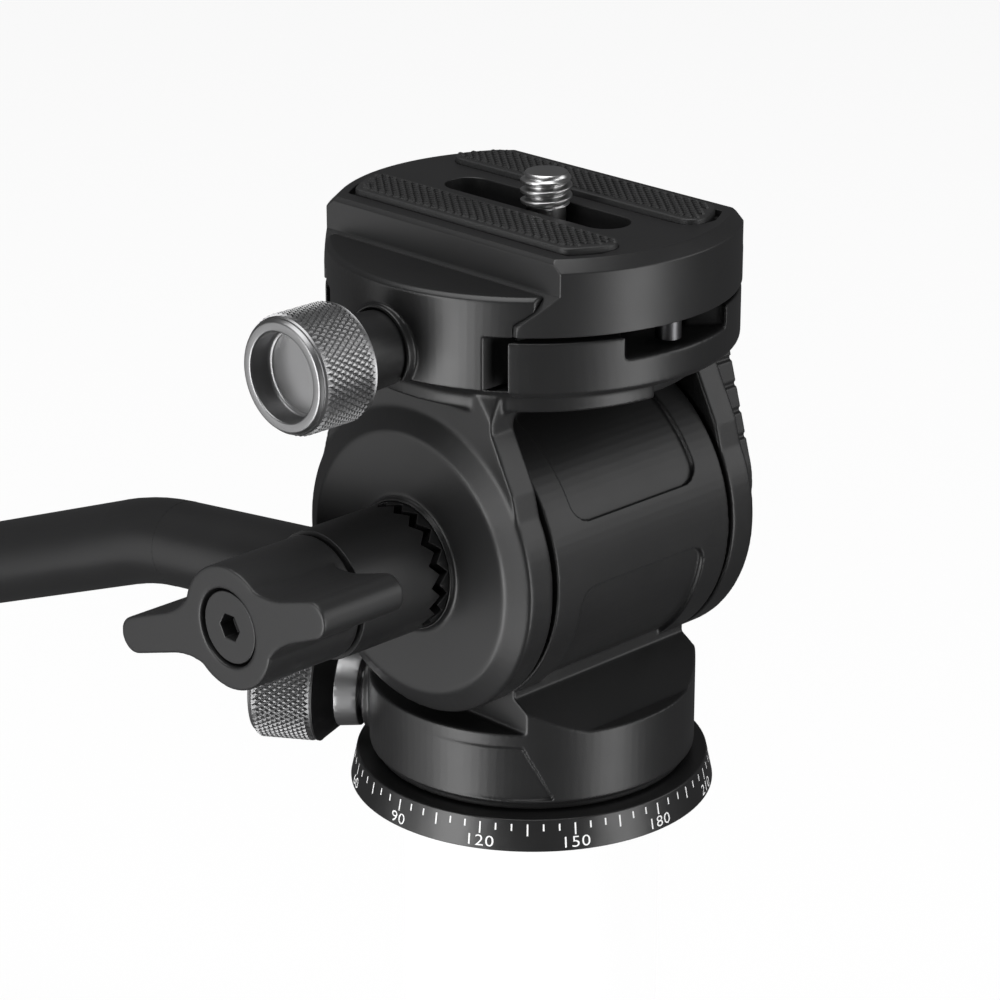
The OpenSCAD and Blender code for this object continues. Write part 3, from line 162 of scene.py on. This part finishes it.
def soften(name, width, steps=3, angle=28.0):
    """Rounds the sharp edges of a turned or cut CAD piece."""
    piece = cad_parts[name]
    weld = piece.modifiers.new("weld", "WELD")
    weld.merge_threshold = 0.002 * MM
    flat = piece.modifiers.new("flat", "DECIMATE")
    flat.decimate_type = "DISSOLVE"
    flat.angle_limit = math.radians(0.6)
    edge = piece.modifiers.new("edge", "BEVEL")
    edge.width = width * MM
    edge.segments = steps
    edge.limit_method = "ANGLE"
    edge.angle_limit = math.radians(angle)
    edge.use_clamp_overlap = False
    edge.harden_normals = False
    smooth = piece.modifiers.new("smooth", "WEIGHTED_NORMAL")
    smooth.weight = 90
    smooth.keep_sharp = False


ring_black = finish("ring_black", 0.010, 0.36, specular=0.42)
finish_node(ring_black, "base_ring")
soften("base_ring", 0.18)

dial_white = bpy.data.materials.new("dial_white")
dial_white.use_nodes = True
paint = dial_white.node_tree.nodes["Principled BSDF"]
worn_print = dial_white.node_tree.nodes.new("ShaderNodeGroup")
worn_print.node_tree = blasted_grain
worn_print.inputs["Cloud per metre"].default_value = 900.0
dial_white.node_tree.links.new(
    ramp(dial_white.node_tree.nodes, dial_white.node_tree.links, worn_print.outputs["Cloud"],
         (0.62, 0.62, 0.62), (0.95, 0.95, 0.95)), paint.inputs["Base Color"])
paint.inputs["Roughness"].default_value = 0.55
paint.inputs["Specular IOR Level"].default_value = 0.2


def on_cone(angle, height, lift):
    """A point on the ring's cone at this angle in degrees and height in mm."""
    slope = math.hypot(RING_H, RING_R - RING_TOP_R)
    radius = RING_R + (RING_TOP_R - RING_R) * height / RING_H + lift * RING_H / slope
    rise = height + lift * (RING_R - RING_TOP_R) / slope
    around = math.radians(angle)
    return Vector((radius * math.cos(around), radius * math.sin(around), rise)) * MM


def add_piece(name, mesh_data, material, sharp=32.0):
    """A new object from a bmesh, smooth except at its sharp edges."""
    mesh = bpy.data.meshes.new(name)
    bmesh.ops.recalc_face_normals(mesh_data, faces=mesh_data.faces)
    for face in mesh_data.faces:
        face.smooth = True
    mesh_data.to_mesh(mesh)
    mesh_data.free()
    mesh.set_sharp_from_angle(angle=math.radians(sharp))
    mesh.materials.append(material)
    piece = bpy.data.objects.new(name, mesh)
    bpy.context.scene.collection.objects.link(piece)
    return piece


marks = bmesh.new()
for step in range(round(360 / TICK_STEP)):
    angle = step * TICK_STEP + DIAL_TURN
    low = SHORT_LOW if step % LONG_EVERY else LONG_LOW
    half = math.degrees(TICK_HALF / RING_R)
    corners = [(angle - half, low), (angle + half, low), (angle + half, TICK_HIGH), (angle - half, TICK_HIGH)]
    inner = [marks.verts.new(on_cone(a, h, PRINT_SINK)) for a, h in corners]
    outer = [marks.verts.new(on_cone(a, h, PRINT_LIFT)) for a, h in corners]
    marks.faces.new(outer)
    marks.faces.new(inner[::-1])
    for i in range(4):
        marks.faces.new((inner[i], inner[(i + 1) % 4], outer[(i + 1) % 4], outer[i]))
for number in range(0, 360, NUMBER_STEP):
    words = bpy.data.curves.new("dial_number", "FONT")
    words.body = str(number)
    words.size = NUMBER_SIZE
    words.align_x = "CENTER"
    words.space_character = 1.08
    words.resolution_u = 4
    words.offset = -0.008
    holder = bpy.data.objects.new("dial_number", words)
    bpy.context.scene.collection.objects.link(holder)
    flat = bpy.data.meshes.new_from_object(holder.evaluated_get(bpy.context.evaluated_depsgraph_get()))
    numeral = bmesh.new()
    numeral.from_mesh(flat)
    fresh = {}
    for corner in numeral.verts:
        angle = number + 90.0 + DIAL_TURN + math.degrees(NUMBER_WIDEN * corner.co.x / RING_R)
        fresh[corner.index] = marks.verts.new(on_cone(angle, NUMBER_LOW + corner.co.y, PRINT_LIFT))
    for face in numeral.faces:
        marks.faces.new([fresh[corner.index] for corner in face.verts])
    numeral.free()
    bpy.data.objects.remove(holder)
    bpy.data.curves.remove(words)
    bpy.data.meshes.remove(flat)
dial = add_piece("dial_marks", marks, dial_white)
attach(dial, "base")

# Base fastenings. The steel bush takes the tripod's stud, and three countersunk
# steel screws hold the ring to the turned steel spindle that the whole head pans on.
bright_steel = finish("bright_steel", 0.52, 0.30, metal=1.0, grain=2600.0, depth=0.003, edge=0.6, edge_lightening=1.2,
                      specular=0.5, tint=1.0)
dark_steel = finish("dark_steel", 0.09, 0.40, metal=1.0, grain=3000.0, depth=0.004, edge=1.0, edge_lightening=1.8,
                    specular=0.5, tint=1.03)
finish_node(bright_steel, "mount_bush", "pan_spindle", "spindle_washer")
finish_node(dark_steel, "base_screws", "spindle_nut")
soften("mount_bush", 0.12)
soften("base_screws", 0.1)
bronze = finish("bearing_bronze", 0.42, 0.38, metal=1.0, grain=1800.0, depth=0.004, edge=0.8, edge_lightening=1.3,
                specular=0.5, tint=0.5)
finish_node(bronze, "pan_thrust_washer")


# Housing. The drum with the skirt below it is one aluminium casting, blasted and
# finished satin black, with two machined panels and a recessed field in the wall.
def cast_smooth(name, grid, passes):
    """Runs the sharp edges of a casting over into small even radii."""
    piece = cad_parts[name]
    skin = piece.modifiers.new("skin", "REMESH")
    skin.mode = "VOXEL"
    skin.voxel_size = grid * MM
    skin.use_smooth_shade = True
    relax = piece.modifiers.new("relax", "SMOOTH")
    relax.factor = 0.5
    relax.iterations = passes


satin_black = finish("satin_black", 0.011, 0.40, grain=4200.0, depth=0.008, edge=1.0, specular=0.34)
finish_node(satin_black, "pan_housing")
cast_smooth("pan_housing", 0.17, 5)

# Inside the housing. Bronze bushes carry the spindle and the drum, a grease ring
# damps the pan, and the nylon pad is pressed on the spindle by the lock's stud.
finish_node(bronze, "pan_bush", "tilt_bush_left", "tilt_bush_right")
grease = finish("grease_ring", 0.10, 0.22, grain=900.0, depth=0.02, edge=0.2, specular=0.5, tint=0.8)
finish_node(grease, "pan_damping_ring")
nylon = finish("nylon", 0.55, 0.45, grain=1500.0, depth=0.006, edge=0.3, edge_lightening=1.1, specular=0.4, tint=0.93)
finish_node(nylon, "pan_brake_pad", "tilt_washer_left", "tilt_washer_right")

# Pan lock. A turned aluminium knob with a diamond knurl and a black cone, a satin
# collar and a steel stud that screws through the boss on the housing.
LOCK_TURN, LOCK_Z = math.radians(124.0), 9.7
KNOB_FROM, KNOB_FACE, KNOB_R, KNOB_FACE_R, KNOB_LIP = 25.0, 36.0, 7.2, 5.9, 0.45
CONE_TO, STUD_R, STUD_TO = 27.5, 3.02, 31.67
KNURL, KNURL_SIDES, KNURL_ROWS, KNURL_FROM, KNURL_TO = 0.26, 116, 12, 27.75, 35.3
to_lock = (Matrix.Translation(Vector((0, 0, LOCK_Z * MM))) @ Matrix.Rotation(LOCK_TURN, 4, "Z")
           @ Matrix.Rotation(math.radians(90), 4, "Y"))


def ring_of(mesh, along, radius, count, off=0.0):
    """A ring of points round an axis along Z, or its one middle point at radius 0."""
    if radius == 0:
        return [mesh.verts.new((0, off * MM, along * MM))]
    return [mesh.verts.new((radius * math.cos(math.tau * i / count) * MM,
                            (off + radius * math.sin(math.tau * i / count)) * MM, along * MM))
            for i in range(count)]


def join_rings(mesh, first, second):
    """The faces between two rings of a turned piece, or a ring and a middle point."""
    count = max(len(first), len(second))
    for i in range(count):
        j = (i + 1) % count
        if len(first) == 1:
            mesh.faces.new((first[0], second[i], second[j]))
        elif len(second) == 1:
            mesh.faces.new((first[i], first[j], second[0]))
        else:
            mesh.faces.new((first[i], first[j], second[j], second[i]))


def turned(name, outline, place, material, knurl_at):
    """A turned piece from (distance, radius) points in mm along local Z, closed at both
    ends, with a diamond knurl from the point number knurl_at to the next one."""
    mesh = bmesh.new()
    rings = [ring_of(mesh, along, radius, KNURL_SIDES) for along, radius in outline]
    for index, (first, second) in enumerate(zip(rings, rings[1:])):
        if index == knurl_at:
            cut_diamonds(mesh, first, second, outline[index], outline[index + 1])
        else:
            join_rings(mesh, first, second)
    piece = add_piece(name, mesh, material)
    piece.data.transform(place)
    return piece


def cut_diamonds(mesh, first, second, start, end, flat_share=0.36):
    """The knurl between two rings: raised diamonds with small flats on their points."""
    count, rows, low = KNURL_SIDES, KNURL_ROWS, start[1]

    def spot(around, row, radius):
        turn = math.tau * around / count
        along = start[0] + (end[0] - start[0]) * row / rows
        return Vector((radius * math.cos(turn) * MM, radius * math.sin(turn) * MM, along * MM))

    grid = {}
    for i in range(count):
        grid[i, 0], grid[i, rows] = first[i], second[i]
        for row in range(1, rows):
            if (i + row) % 2 == 0:
                grid[i, row] = mesh.verts.new(spot(i, row, low))
    for i in range(count):
        before, after = (i - 1) % count, (i + 1) % count
        for row in range(1, rows):
            if (i + row) % 2 == 0:
                continue
            corners = [grid[before, row], grid[i, row - 1], grid[after, row], grid[i, row + 1]]
            flat = [mesh.verts.new(spot(i + aside * flat_share, row + ahead * flat_share, low + KNURL))
                    for aside, ahead in ((-1, 0), (0, -1), (1, 0), (0, 1))]
            mesh.faces.new(flat)
            for k in range(4):
                mesh.faces.new((corners[k], corners[(k + 1) % 4], flat[(k + 1) % 4], flat[k]))
        if i % 2 == 1:
            mesh.faces.new((grid[before, 0], grid[i, 0], grid[i, 1]))
            mesh.faces.new((grid[i, 0], grid[after, 0], grid[i, 1]))
        if (i + rows) % 2 == 1:
            mesh.faces.new((grid[before, rows], grid[i, rows - 1], grid[i, rows]))
            mesh.faces.new((grid[i, rows], grid[i, rows - 1], grid[after, rows]))


def arc(centre, radius, start, end, steps=5):
    """Points of a rounded corner, as (distance, radius) pairs."""
    return [(centre[0] + radius * math.cos(math.radians(start + (end - start) * i / steps)),
             centre[1] + radius * math.sin(math.radians(start + (end - start) * i / steps)))
            for i in range(steps + 1)]


knurled_grey = finish("knurled_grey", 0.23, 0.40, metal=1.0, grain=3400.0, depth=0.003, edge=0.8, edge_lightening=1.5,
                      specular=0.5, tint=1.01)
cone_black = finish("cone_black", 0.012, 0.48, grain=4200.0, depth=0.006, edge=1.0, specular=0.3)
low = KNOB_R - KNURL
knob_outline = (
    [(KNOB_FACE, 0), (KNOB_FACE, KNOB_FACE_R - 0.1), (KNOB_FACE, KNOB_FACE_R)]
    + arc((KNOB_FACE - KNOB_LIP, 6.05), KNOB_LIP, 0, 70)
    + [(KNURL_TO, low), (KNURL_FROM, low), (27.55, 7.15), (27.3, 7.18), (27.1, 6.95)]
    + [(KNOB_FROM + 0.05, 5.12), (KNOB_FROM, 5.0), (KNOB_FROM, STUD_R), (STUD_TO, STUD_R), (STUD_TO, 0)])
pan_knob = turned("pan_knob_knurled", knob_outline, to_lock, knurled_grey,
                  knob_outline.index((KNURL_TO, low)))
pan_knob.data.materials.append(cone_black)
for face in pan_knob.data.polygons:
    if (to_lock.inverted() @ face.center).z < CONE_TO * MM:
        face.material_index = 1
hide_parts("pan_lock_knob")
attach(pan_knob, "pan_knob")

collar_satin = finish("collar_satin", 0.28, 0.42, metal=1.0, grain=2600.0, depth=0.003, edge=0.8, edge_lightening=1.3,
                      specular=0.5, tint=1.01)
finish_node(collar_satin, "pan_lock_collar")
finish_node(bright_steel, "pan_lock_stud")
soften("pan_lock_collar", 0.15)

# Yoke. The tilting casting: two round cheeks, the collar and flare above them and the
# platform with the fixed jaw, blasted and satin black. The shaft is turned steel.
yoke_black = finish("yoke_black", 0.011, 0.38, grain=4200.0, depth=0.008, edge=1.0, specular=0.36)
finish_node(yoke_black, "yoke")
cast_smooth("yoke", 0.2, 15)
finish_node(bright_steel, "tilt_shaft", "jaw_guide_pins")
tooth_black = finish("tooth_black", 0.010, 0.42, grain=4200.0, depth=0.006, edge=2.0, edge_lightening=3.0, specular=0.3)
finish_node(tooth_black, "rosette_ring")
soften("rosette_ring", 0.06, 2)

# Tilt lock. A die-cast lever with fine grip lines across its edges, a black cap over
# its steel stud and a steel washer between it and the cheek.
lever_black = finish("lever_black", 0.012, 0.42, grain=4200.0, depth=0.008, edge=1.5, specular=0.34)
finish_node(lever_black, "tilt_lock_lever")
cast_smooth("tilt_lock_lever", 0.12, 6)
finish_node(bright_steel, "tilt_pressure_washer", "tilt_lock_stud")
cap_black = finish("cap_black", 0.014, 0.30, grain=5200.0, depth=0.004, edge=1.5, specular=0.4)
finish_node(cap_black, "lever_cap")
soften("lever_cap", 0.25)

# Clamp. The loose jaw is machined and black; its screw carries a black collar and a
# knob of grey turned metal with a diamond knurl and a deep cup in its face.
jaw_black = finish("jaw_black", 0.010, 0.36, grain=4600.0, depth=0.006, edge=1.2, specular=0.38)
finish_node(jaw_black, "clamp_jaw")
cast_smooth("clamp_jaw", 0.14, 5)
collar_black = finish("collar_black", 0.012, 0.34, grain=4600.0, depth=0.004, edge=1.0, specular=0.5)
finish_node(collar_black, "clamp_collar")
soften("clamp_collar", 0.2)
finish_node(bright_steel, "clamp_stud")

CLAMP_Z, CLAMP_FROM, CLAMP_R, CUP_FLOOR, CUP_R = 63.5, 32.4, 7.3, 38.1, 5.4
CLAMP_STUD_R, CLAMP_STUD_TO, CLAMP_KNURL_FROM, CLAMP_KNURL_TO = 2.52, 36.73, 32.8, 40.15
to_clamp = Matrix.Translation(Vector((0, 0, CLAMP_Z * MM))) @ Matrix.Rotation(math.radians(-90), 4, "Y")
low = CLAMP_R - KNURL
cup_outline = (
    [(CUP_FLOOR, 0), (CUP_FLOOR, CUP_R - 0.65), (CUP_FLOOR, CUP_R - 0.5)]
    + arc((CUP_FLOOR + 0.5, CUP_R - 0.5), 0.5, 180, 90) + arc((40.85, CUP_R + 0.25), 0.25, -90, 0)
    + arc((40.75, 6.35), 0.35, 0, 60) + [(40.45, 6.86)] + arc((40.5, 6.72), 0.22, 60, 130)[1:]
    + [(CLAMP_KNURL_TO, low), (CLAMP_KNURL_FROM, low), (CLAMP_FROM + 0.2, 7.1), (CLAMP_FROM, 6.9)]
    + [(CLAMP_FROM, CLAMP_STUD_R), (CLAMP_STUD_TO, CLAMP_STUD_R), (CLAMP_STUD_TO, 0)])
clamp_knob = turned("clamp_knob_knurled", cup_outline, to_clamp, knurled_grey,
                    cup_outline.index((CLAMP_KNURL_TO, low)))
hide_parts("clamp_knob")
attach(clamp_knob, "jaw_knob")

# Quick plate. Milled from an aluminium bar with a dovetail on both sides and a round rim
# front and back, blasted and black, with two rubber pads and steel stop pins below.
plate_black = finish("plate_black", 0.012, 0.40, grain=4600.0, depth=0.007, edge=1.2, specular=0.36)
finish_node(plate_black, "quick_plate")
soften("quick_plate", 0.14, 2)
finish_node(dark_steel, "stop_pins")
finish_node(bright_steel, "screw_washer")
pad_rubber = finish("pad_rubber", 0.013, 0.52, grain=2600.0, depth=0.006, edge=0.8, edge_lightening=1.5, specular=0.42)
PAD_FROM, PAD_TO, PAD_END, PAD_CORNER = 5.7, 13.06, 22.2, 2.0
PAD_BASE, PAD_EDGE, PAD_FACE = 75.15, 76.55, 76.8
POINT_FOOT, POINT_TOP, POINT_LONG, POINT_WIDE = 76.79, 77.04, 0.46, 0.23
POINT_ROOM, POINT_END_ROOM = 0.55, 0.45
POINT_ALONG, POINT_ACROSS, POINT_LONG_SHARE, POINT_WIDE_SHARE = 1.33, 0.55, 0.75, 0.7


def pad_outline(inset):
    """The pad's outline in mm: straight sides, and ends on an arc with round corners."""
    corner, reach = PAD_CORNER - inset, PAD_END - inset
    points = []
    for end in (1, -1):
        middles = [(x, math.sqrt((reach - corner) ** 2 - x * x))
                   for x in (PAD_TO - PAD_CORNER, PAD_FROM + PAD_CORNER)]
        lean = [math.degrees(math.atan2(y, x)) for x, y in middles]
        bends = ([(middles[0], corner, lean[0] * i / 8) for i in range(9)]
                 + [((0, 0), reach, lean[0] + (lean[1] - lean[0]) * i / 6) for i in range(1, 6)]
                 + [(middles[1], corner, lean[1] + (180 - lean[1]) * i / 8) for i in range(9)])
        shape = []
        for middle, radius, degrees in bends:
            turn = math.radians(degrees)
            shape.append((middle[0] + radius * math.cos(turn), end * (middle[1] + radius * math.sin(turn))))
        points += shape if end == 1 else shape[::-1]
    return points


pads = bmesh.new()
for side in (1, -1):
    levels = [(PAD_BASE, 0.0), (PAD_EDGE, 0.0), (PAD_FACE - 0.1, 0.05), (PAD_FACE - 0.03, 0.15),
              (PAD_FACE, 0.3), (PAD_FACE, 0.42)]
    rings = [[pads.verts.new((side * x * MM, y * MM, z * MM)) for x, y in pad_outline(inset)]
             for z, inset in levels]
    pads.faces.new(rings[0])
    pads.faces.new(rings[-1])
    for lower, upper in zip(rings, rings[1:]):
        join_rings(pads, lower, upper)
    for row in range(-6, 7):
        x = (PAD_FROM + PAD_TO) / 2 + row * POINT_ACROSS
        for along in range(-17, 18):
            y = (along + (0.5 if row % 2 else 0)) * POINT_ALONG
            outside = not PAD_FROM + POINT_ROOM < x < PAD_TO - POINT_ROOM
            if outside or math.hypot(x, abs(y) + POINT_LONG) > PAD_END - POINT_END_ROOM:
                continue
            corners = [(POINT_WIDE * i, POINT_LONG * j) for i, j in ((1, 1), (-1, 1), (-1, -1), (1, -1))]
            foot = [pads.verts.new((side * (x + dx) * MM, (y + dy) * MM, POINT_FOOT * MM))
                    for dx, dy in corners]
            top = [pads.verts.new((side * (x + dx * POINT_WIDE_SHARE) * MM, (y + dy * POINT_LONG_SHARE) * MM,
                                   POINT_TOP * MM)) for dx, dy in corners]
            pads.faces.new(top)
            pads.faces.new(foot[::-1])
            join_rings(pads, foot, top)
pad_piece = add_piece("pads_with_points", pads, pad_rubber, 28.0)
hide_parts("plate_pads")
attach(pad_piece, "plate")

# Camera screw. A quarter inch screw of bright steel with three full threads above the
# plate, a plain neck in the slot and a slotted head kept in by a washer below.
SCREW_Y, SCREW_SIDES, PITCH, CREST, ROOT = -2.15, 96, 1.27, 3.155, 2.5
HEAD_FROM, HEAD_TO, HEAD_R, HEAD_EDGE, NECK_R, NECK_TO = 67.75, 71.25, 5.4, 0.25, 2.4, 76.15
THREAD_FROM, THREAD_TO, THREAD_STEPS, SCREW_TOP = 76.3, 79.95, 90, 80.45
ROOT_FLAT, FLANK = 0.14, 0.66
RUN_IN, RUN_IN_EARLY, RUN_OUT, RUN_OUT_LATE, FAINTEST = 0.25, 0.06, 0.5, 0.22, 0.15
SLOT_WIDE, SLOT_LONG, SLOT_DEEP = 1.4, 12, 1.3
screw = bmesh.new()
head = [(HEAD_FROM, 0), (HEAD_FROM, HEAD_R - HEAD_EDGE), (HEAD_FROM + HEAD_EDGE, HEAD_R),
        (HEAD_TO - HEAD_EDGE, HEAD_R), (HEAD_TO, HEAD_R - HEAD_EDGE), (HEAD_TO, NECK_R), (NECK_TO, NECK_R)]
tip = [(80.12, 2.72), (80.34, 2.6), (80.43, 2.5), (SCREW_TOP, 2.42), (SCREW_TOP, 2.3), (SCREW_TOP, 0)]
rings = [ring_of(screw, z, radius, SCREW_SIDES, SCREW_Y) for z, radius in head]
for step in range(THREAD_STEPS + 1):
    z = THREAD_FROM + (THREAD_TO - THREAD_FROM) * step / THREAD_STEPS
    ring = []
    for i in range(SCREW_SIDES):
        turn = math.tau * i / SCREW_SIDES
        phase = ((z - THREAD_FROM) / PITCH - i / SCREW_SIDES) % 1.0
        crest = min(1.0, max(0.0, (abs(phase - 0.5) * 2 - ROOT_FLAT) / FLANK))
        crest = crest * crest * (3 - 2 * crest)
        ease = min(1.0, (z - THREAD_FROM + RUN_IN_EARLY) / RUN_IN, (THREAD_TO - z + RUN_OUT_LATE) / RUN_OUT)
        radius = ROOT + (CREST - ROOT) * crest * max(ease, FAINTEST)
        spot = Vector((radius * math.cos(turn), SCREW_Y + radius * math.sin(turn), z)) * MM
        ring.append(screw.verts.new(spot))
    rings.append(ring)
rings += [ring_of(screw, z, radius, SCREW_SIDES, SCREW_Y) for z, radius in tip]
for lower, upper in zip(rings, rings[1:]):
    join_rings(screw, lower, upper)
thread_steel = finish("thread_steel", 0.46, 0.30, metal=1.0, grain=2600.0, depth=0.002, edge=0.3, edge_lightening=1.2,
                      specular=0.5, tint=1.0)
screw_piece = add_piece("camera_screw_threaded", screw, thread_steel, 40.0)
bpy.ops.mesh.primitive_cube_add(size=1)
slot_cutter = bpy.context.object
slot_cutter.scale = (SLOT_WIDE * MM, SLOT_LONG * MM, 2 * SLOT_DEEP * MM)
slot_cutter.location = (0, SCREW_Y * MM, HEAD_FROM * MM)
bpy.context.view_layer.update()
cut = screw_piece.modifiers.new("slot", "BOOLEAN")
cut.operation = "DIFFERENCE"
cut.solver = "EXACT"
cut.object = slot_cutter
with_slot = bpy.data.meshes.new_from_object(screw_piece.evaluated_get(bpy.context.evaluated_depsgraph_get()))
screw_piece.modifiers.remove(cut)
screw_piece.data = with_slot
bpy.data.objects.remove(slot_cutter)
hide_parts("camera_screw")
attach(screw_piece, "screw")

# Handle. The toothed barrel holds the bent tube of satin black aluminium, which ends
# in a ribbed rubber grip with its cap.
finish_node(tooth_black, "handle_barrel")
soften("handle_barrel", 0.1, 2)
bar_black = finish("bar_black", 0.011, 0.34, grain=4600.0, depth=0.005, edge=0.5, specular=0.36)
finish_node(bar_black, "pan_bar")
grip_rubber = finish("grip_rubber", 0.016, 0.66, grain=1800.0, depth=0.02, edge=0.8, edge_lightening=1.5, specular=0.3)
finish_node(grip_rubber, "handle_grip", "grip_cap")
soften("handle_grip", 0.3)
soften("grip_cap", 0.8, 4)

# Wing knob. A moulded two-winged knob with big soft radii, held by a black socket bolt
# whose head lies in its round recess.
wing_black = finish("wing_black", 0.013, 0.42, grain=3000.0, depth=0.010, edge=1.0, specular=0.36)
finish_node(wing_black, "wing_knob")
cast_smooth("wing_knob", 0.14, 26)
bolt_black = finish("bolt_black", 0.013, 0.38, grain=4600.0, depth=0.006, edge=1.5, specular=0.36)
finish_node(bolt_black, "wing_bolt")
soften("wing_bolt", 0.15)
finish_node(bright_steel, "handle_washer")

# Studio. A white floor below the reach of the handle, a round white post that the
# head stands on, tall soft lamps on both sides of the camera and one above, and the
# camera at the photograph's place.
FLOOR_Z, POST_R = -0.11, 0.0165
bpy.ops.mesh.primitive_circle_add(vertices=96, radius=6.0, fill_type="NGON", location=(0, 0, FLOOR_Z))
floor = bpy.context.object
floor.name = "studio_floor"
white = bpy.data.materials.new("floor_white")
white.use_nodes = True
nodes, links = white.node_tree.nodes, white.node_tree.links
chalk = nodes["Principled BSDF"]
chalk.inputs["Base Color"].default_value = (0.93, 0.93, 0.93, 1.0)
chalk.inputs["Roughness"].default_value = 0.9
chalk.inputs["Specular IOR Level"].default_value = 0.0
glow = nodes.new("ShaderNodeEmission")
glow.inputs["Color"].default_value = (1.0, 1.0, 1.0, 1.0)
glow.inputs["Strength"].default_value = 1.0
cover = nodes.new("ShaderNodeMixShader")
cover.inputs["Fac"].default_value = 0.88
links.new(chalk.outputs["BSDF"], cover.inputs[1])
links.new(glow.outputs["Emission"], cover.inputs[2])
clear = nodes.new("ShaderNodeBsdfTransparent")
path = nodes.new("ShaderNodeLightPath")
choose = nodes.new("ShaderNodeMixShader")
links.new(path.outputs["Is Camera Ray"], choose.inputs["Fac"])
links.new(clear.outputs["BSDF"], choose.inputs[1])
links.new(cover.outputs["Shader"], choose.inputs[2])
links.new(choose.outputs["Shader"], nodes["Material Output"].inputs["Surface"])
bpy.ops.mesh.primitive_cylinder_add(vertices=96, radius=POST_R, depth=-FLOOR_Z - 0.1 * MM,
                                    location=(0, 0, (FLOOR_Z - 0.1 * MM) / 2))
post = bpy.context.object
post.name = "studio_post"
for surface in (floor, post):
    surface.data.materials.append(white)
post.data.shade_smooth()
post.data.set_sharp_from_angle(angle=math.radians(40))

world = bpy.data.worlds.new("studio_air")
bpy.context.scene.world = world
world.use_nodes = True
air, links = world.node_tree.nodes, world.node_tree.links
dim = air["Background"]
dim.inputs["Color"].default_value = (0.9, 0.9, 0.92, 1.0)
dim.inputs["Strength"].default_value = 0.085
pale = air.new("ShaderNodeBackground")
pale.inputs["Color"].default_value = (1.0, 1.0, 1.0, 1.0)
pale.inputs["Strength"].default_value = 1.0
path = air.new("ShaderNodeLightPath")
choose = air.new("ShaderNodeMixShader")
links.new(path.outputs["Is Camera Ray"], choose.inputs["Fac"])
links.new(dim.outputs["Background"], choose.inputs[1])
links.new(pale.outputs["Background"], choose.inputs[2])
links.new(choose.outputs["Shader"], air["World Output"].inputs["Surface"])


def soft_lamp(name, around, rise, far, width, height, watts):
    """A rectangular lamp aimed at the head: its direction and height are in degrees, its
    distance and size in metres."""
    lamp = bpy.data.lights.new(name, "AREA")
    lamp.shape = "RECTANGLE"
    lamp.size, lamp.size_y, lamp.energy = width, height, watts
    holder = bpy.data.objects.new(name, lamp)
    bpy.context.scene.collection.objects.link(holder)
    aim = Vector((0, 0, 0.04))
    turn, lift = math.radians(around), math.radians(rise)
    toward = Vector((math.cos(turn) * math.cos(lift), math.sin(turn) * math.cos(lift), math.sin(lift)))
    holder.location = aim + far * toward
    holder.rotation_euler = (aim - holder.location).to_track_quat("-Z", "Y").to_euler()
    holder.visible_camera = False


soft_lamp("lamp_above", 160, 78, 1.3, 1.2, 1.2, 20)
soft_lamp("lamp_left", 176, -13, 0.9, 0.48, 1.0, 12.5)
soft_lamp("lamp_far_left", 140, -12, 1.0, 0.36, 0.9, 1.5)
soft_lamp("lamp_right", 281, -14, 0.9, 0.40, 0.9, 6.6)
soft_lamp("lamp_front", 312, 20, 1.0, 0.55, 0.6, 2.8)

VIEW_TURN, VIEW_RISE, VIEW_LENS = -44.744, 20.915, 125.309
VIEW_ASIDE, VIEW_UP, VIEW_AWAY = -4.072, 37.424, 435.755
turn, rise = math.radians(VIEW_TURN), math.radians(VIEW_RISE)
right = Vector((math.cos(turn), math.sin(turn), 0))
back = Vector((math.sin(turn) * math.cos(rise), -math.cos(turn) * math.cos(rise), math.sin(rise)))
up = back.cross(right)
camera = bpy.data.cameras.new("camera")
camera.sensor_width = 36
camera.lens = VIEW_LENS
camera.clip_start = 0.01
viewer = bpy.data.objects.new("camera", camera)
bpy.context.scene.collection.objects.link(viewer)
stand = right * VIEW_ASIDE * MM + Vector((0, 0, VIEW_UP * MM)) + back * VIEW_AWAY * MM
viewer.matrix_world = Matrix.Translation(stand) @ Matrix((right, up, back)).transposed().to_4x4()
bpy.context.scene.camera = viewer
bpy.context.scene.view_settings.view_transform = "Standard"
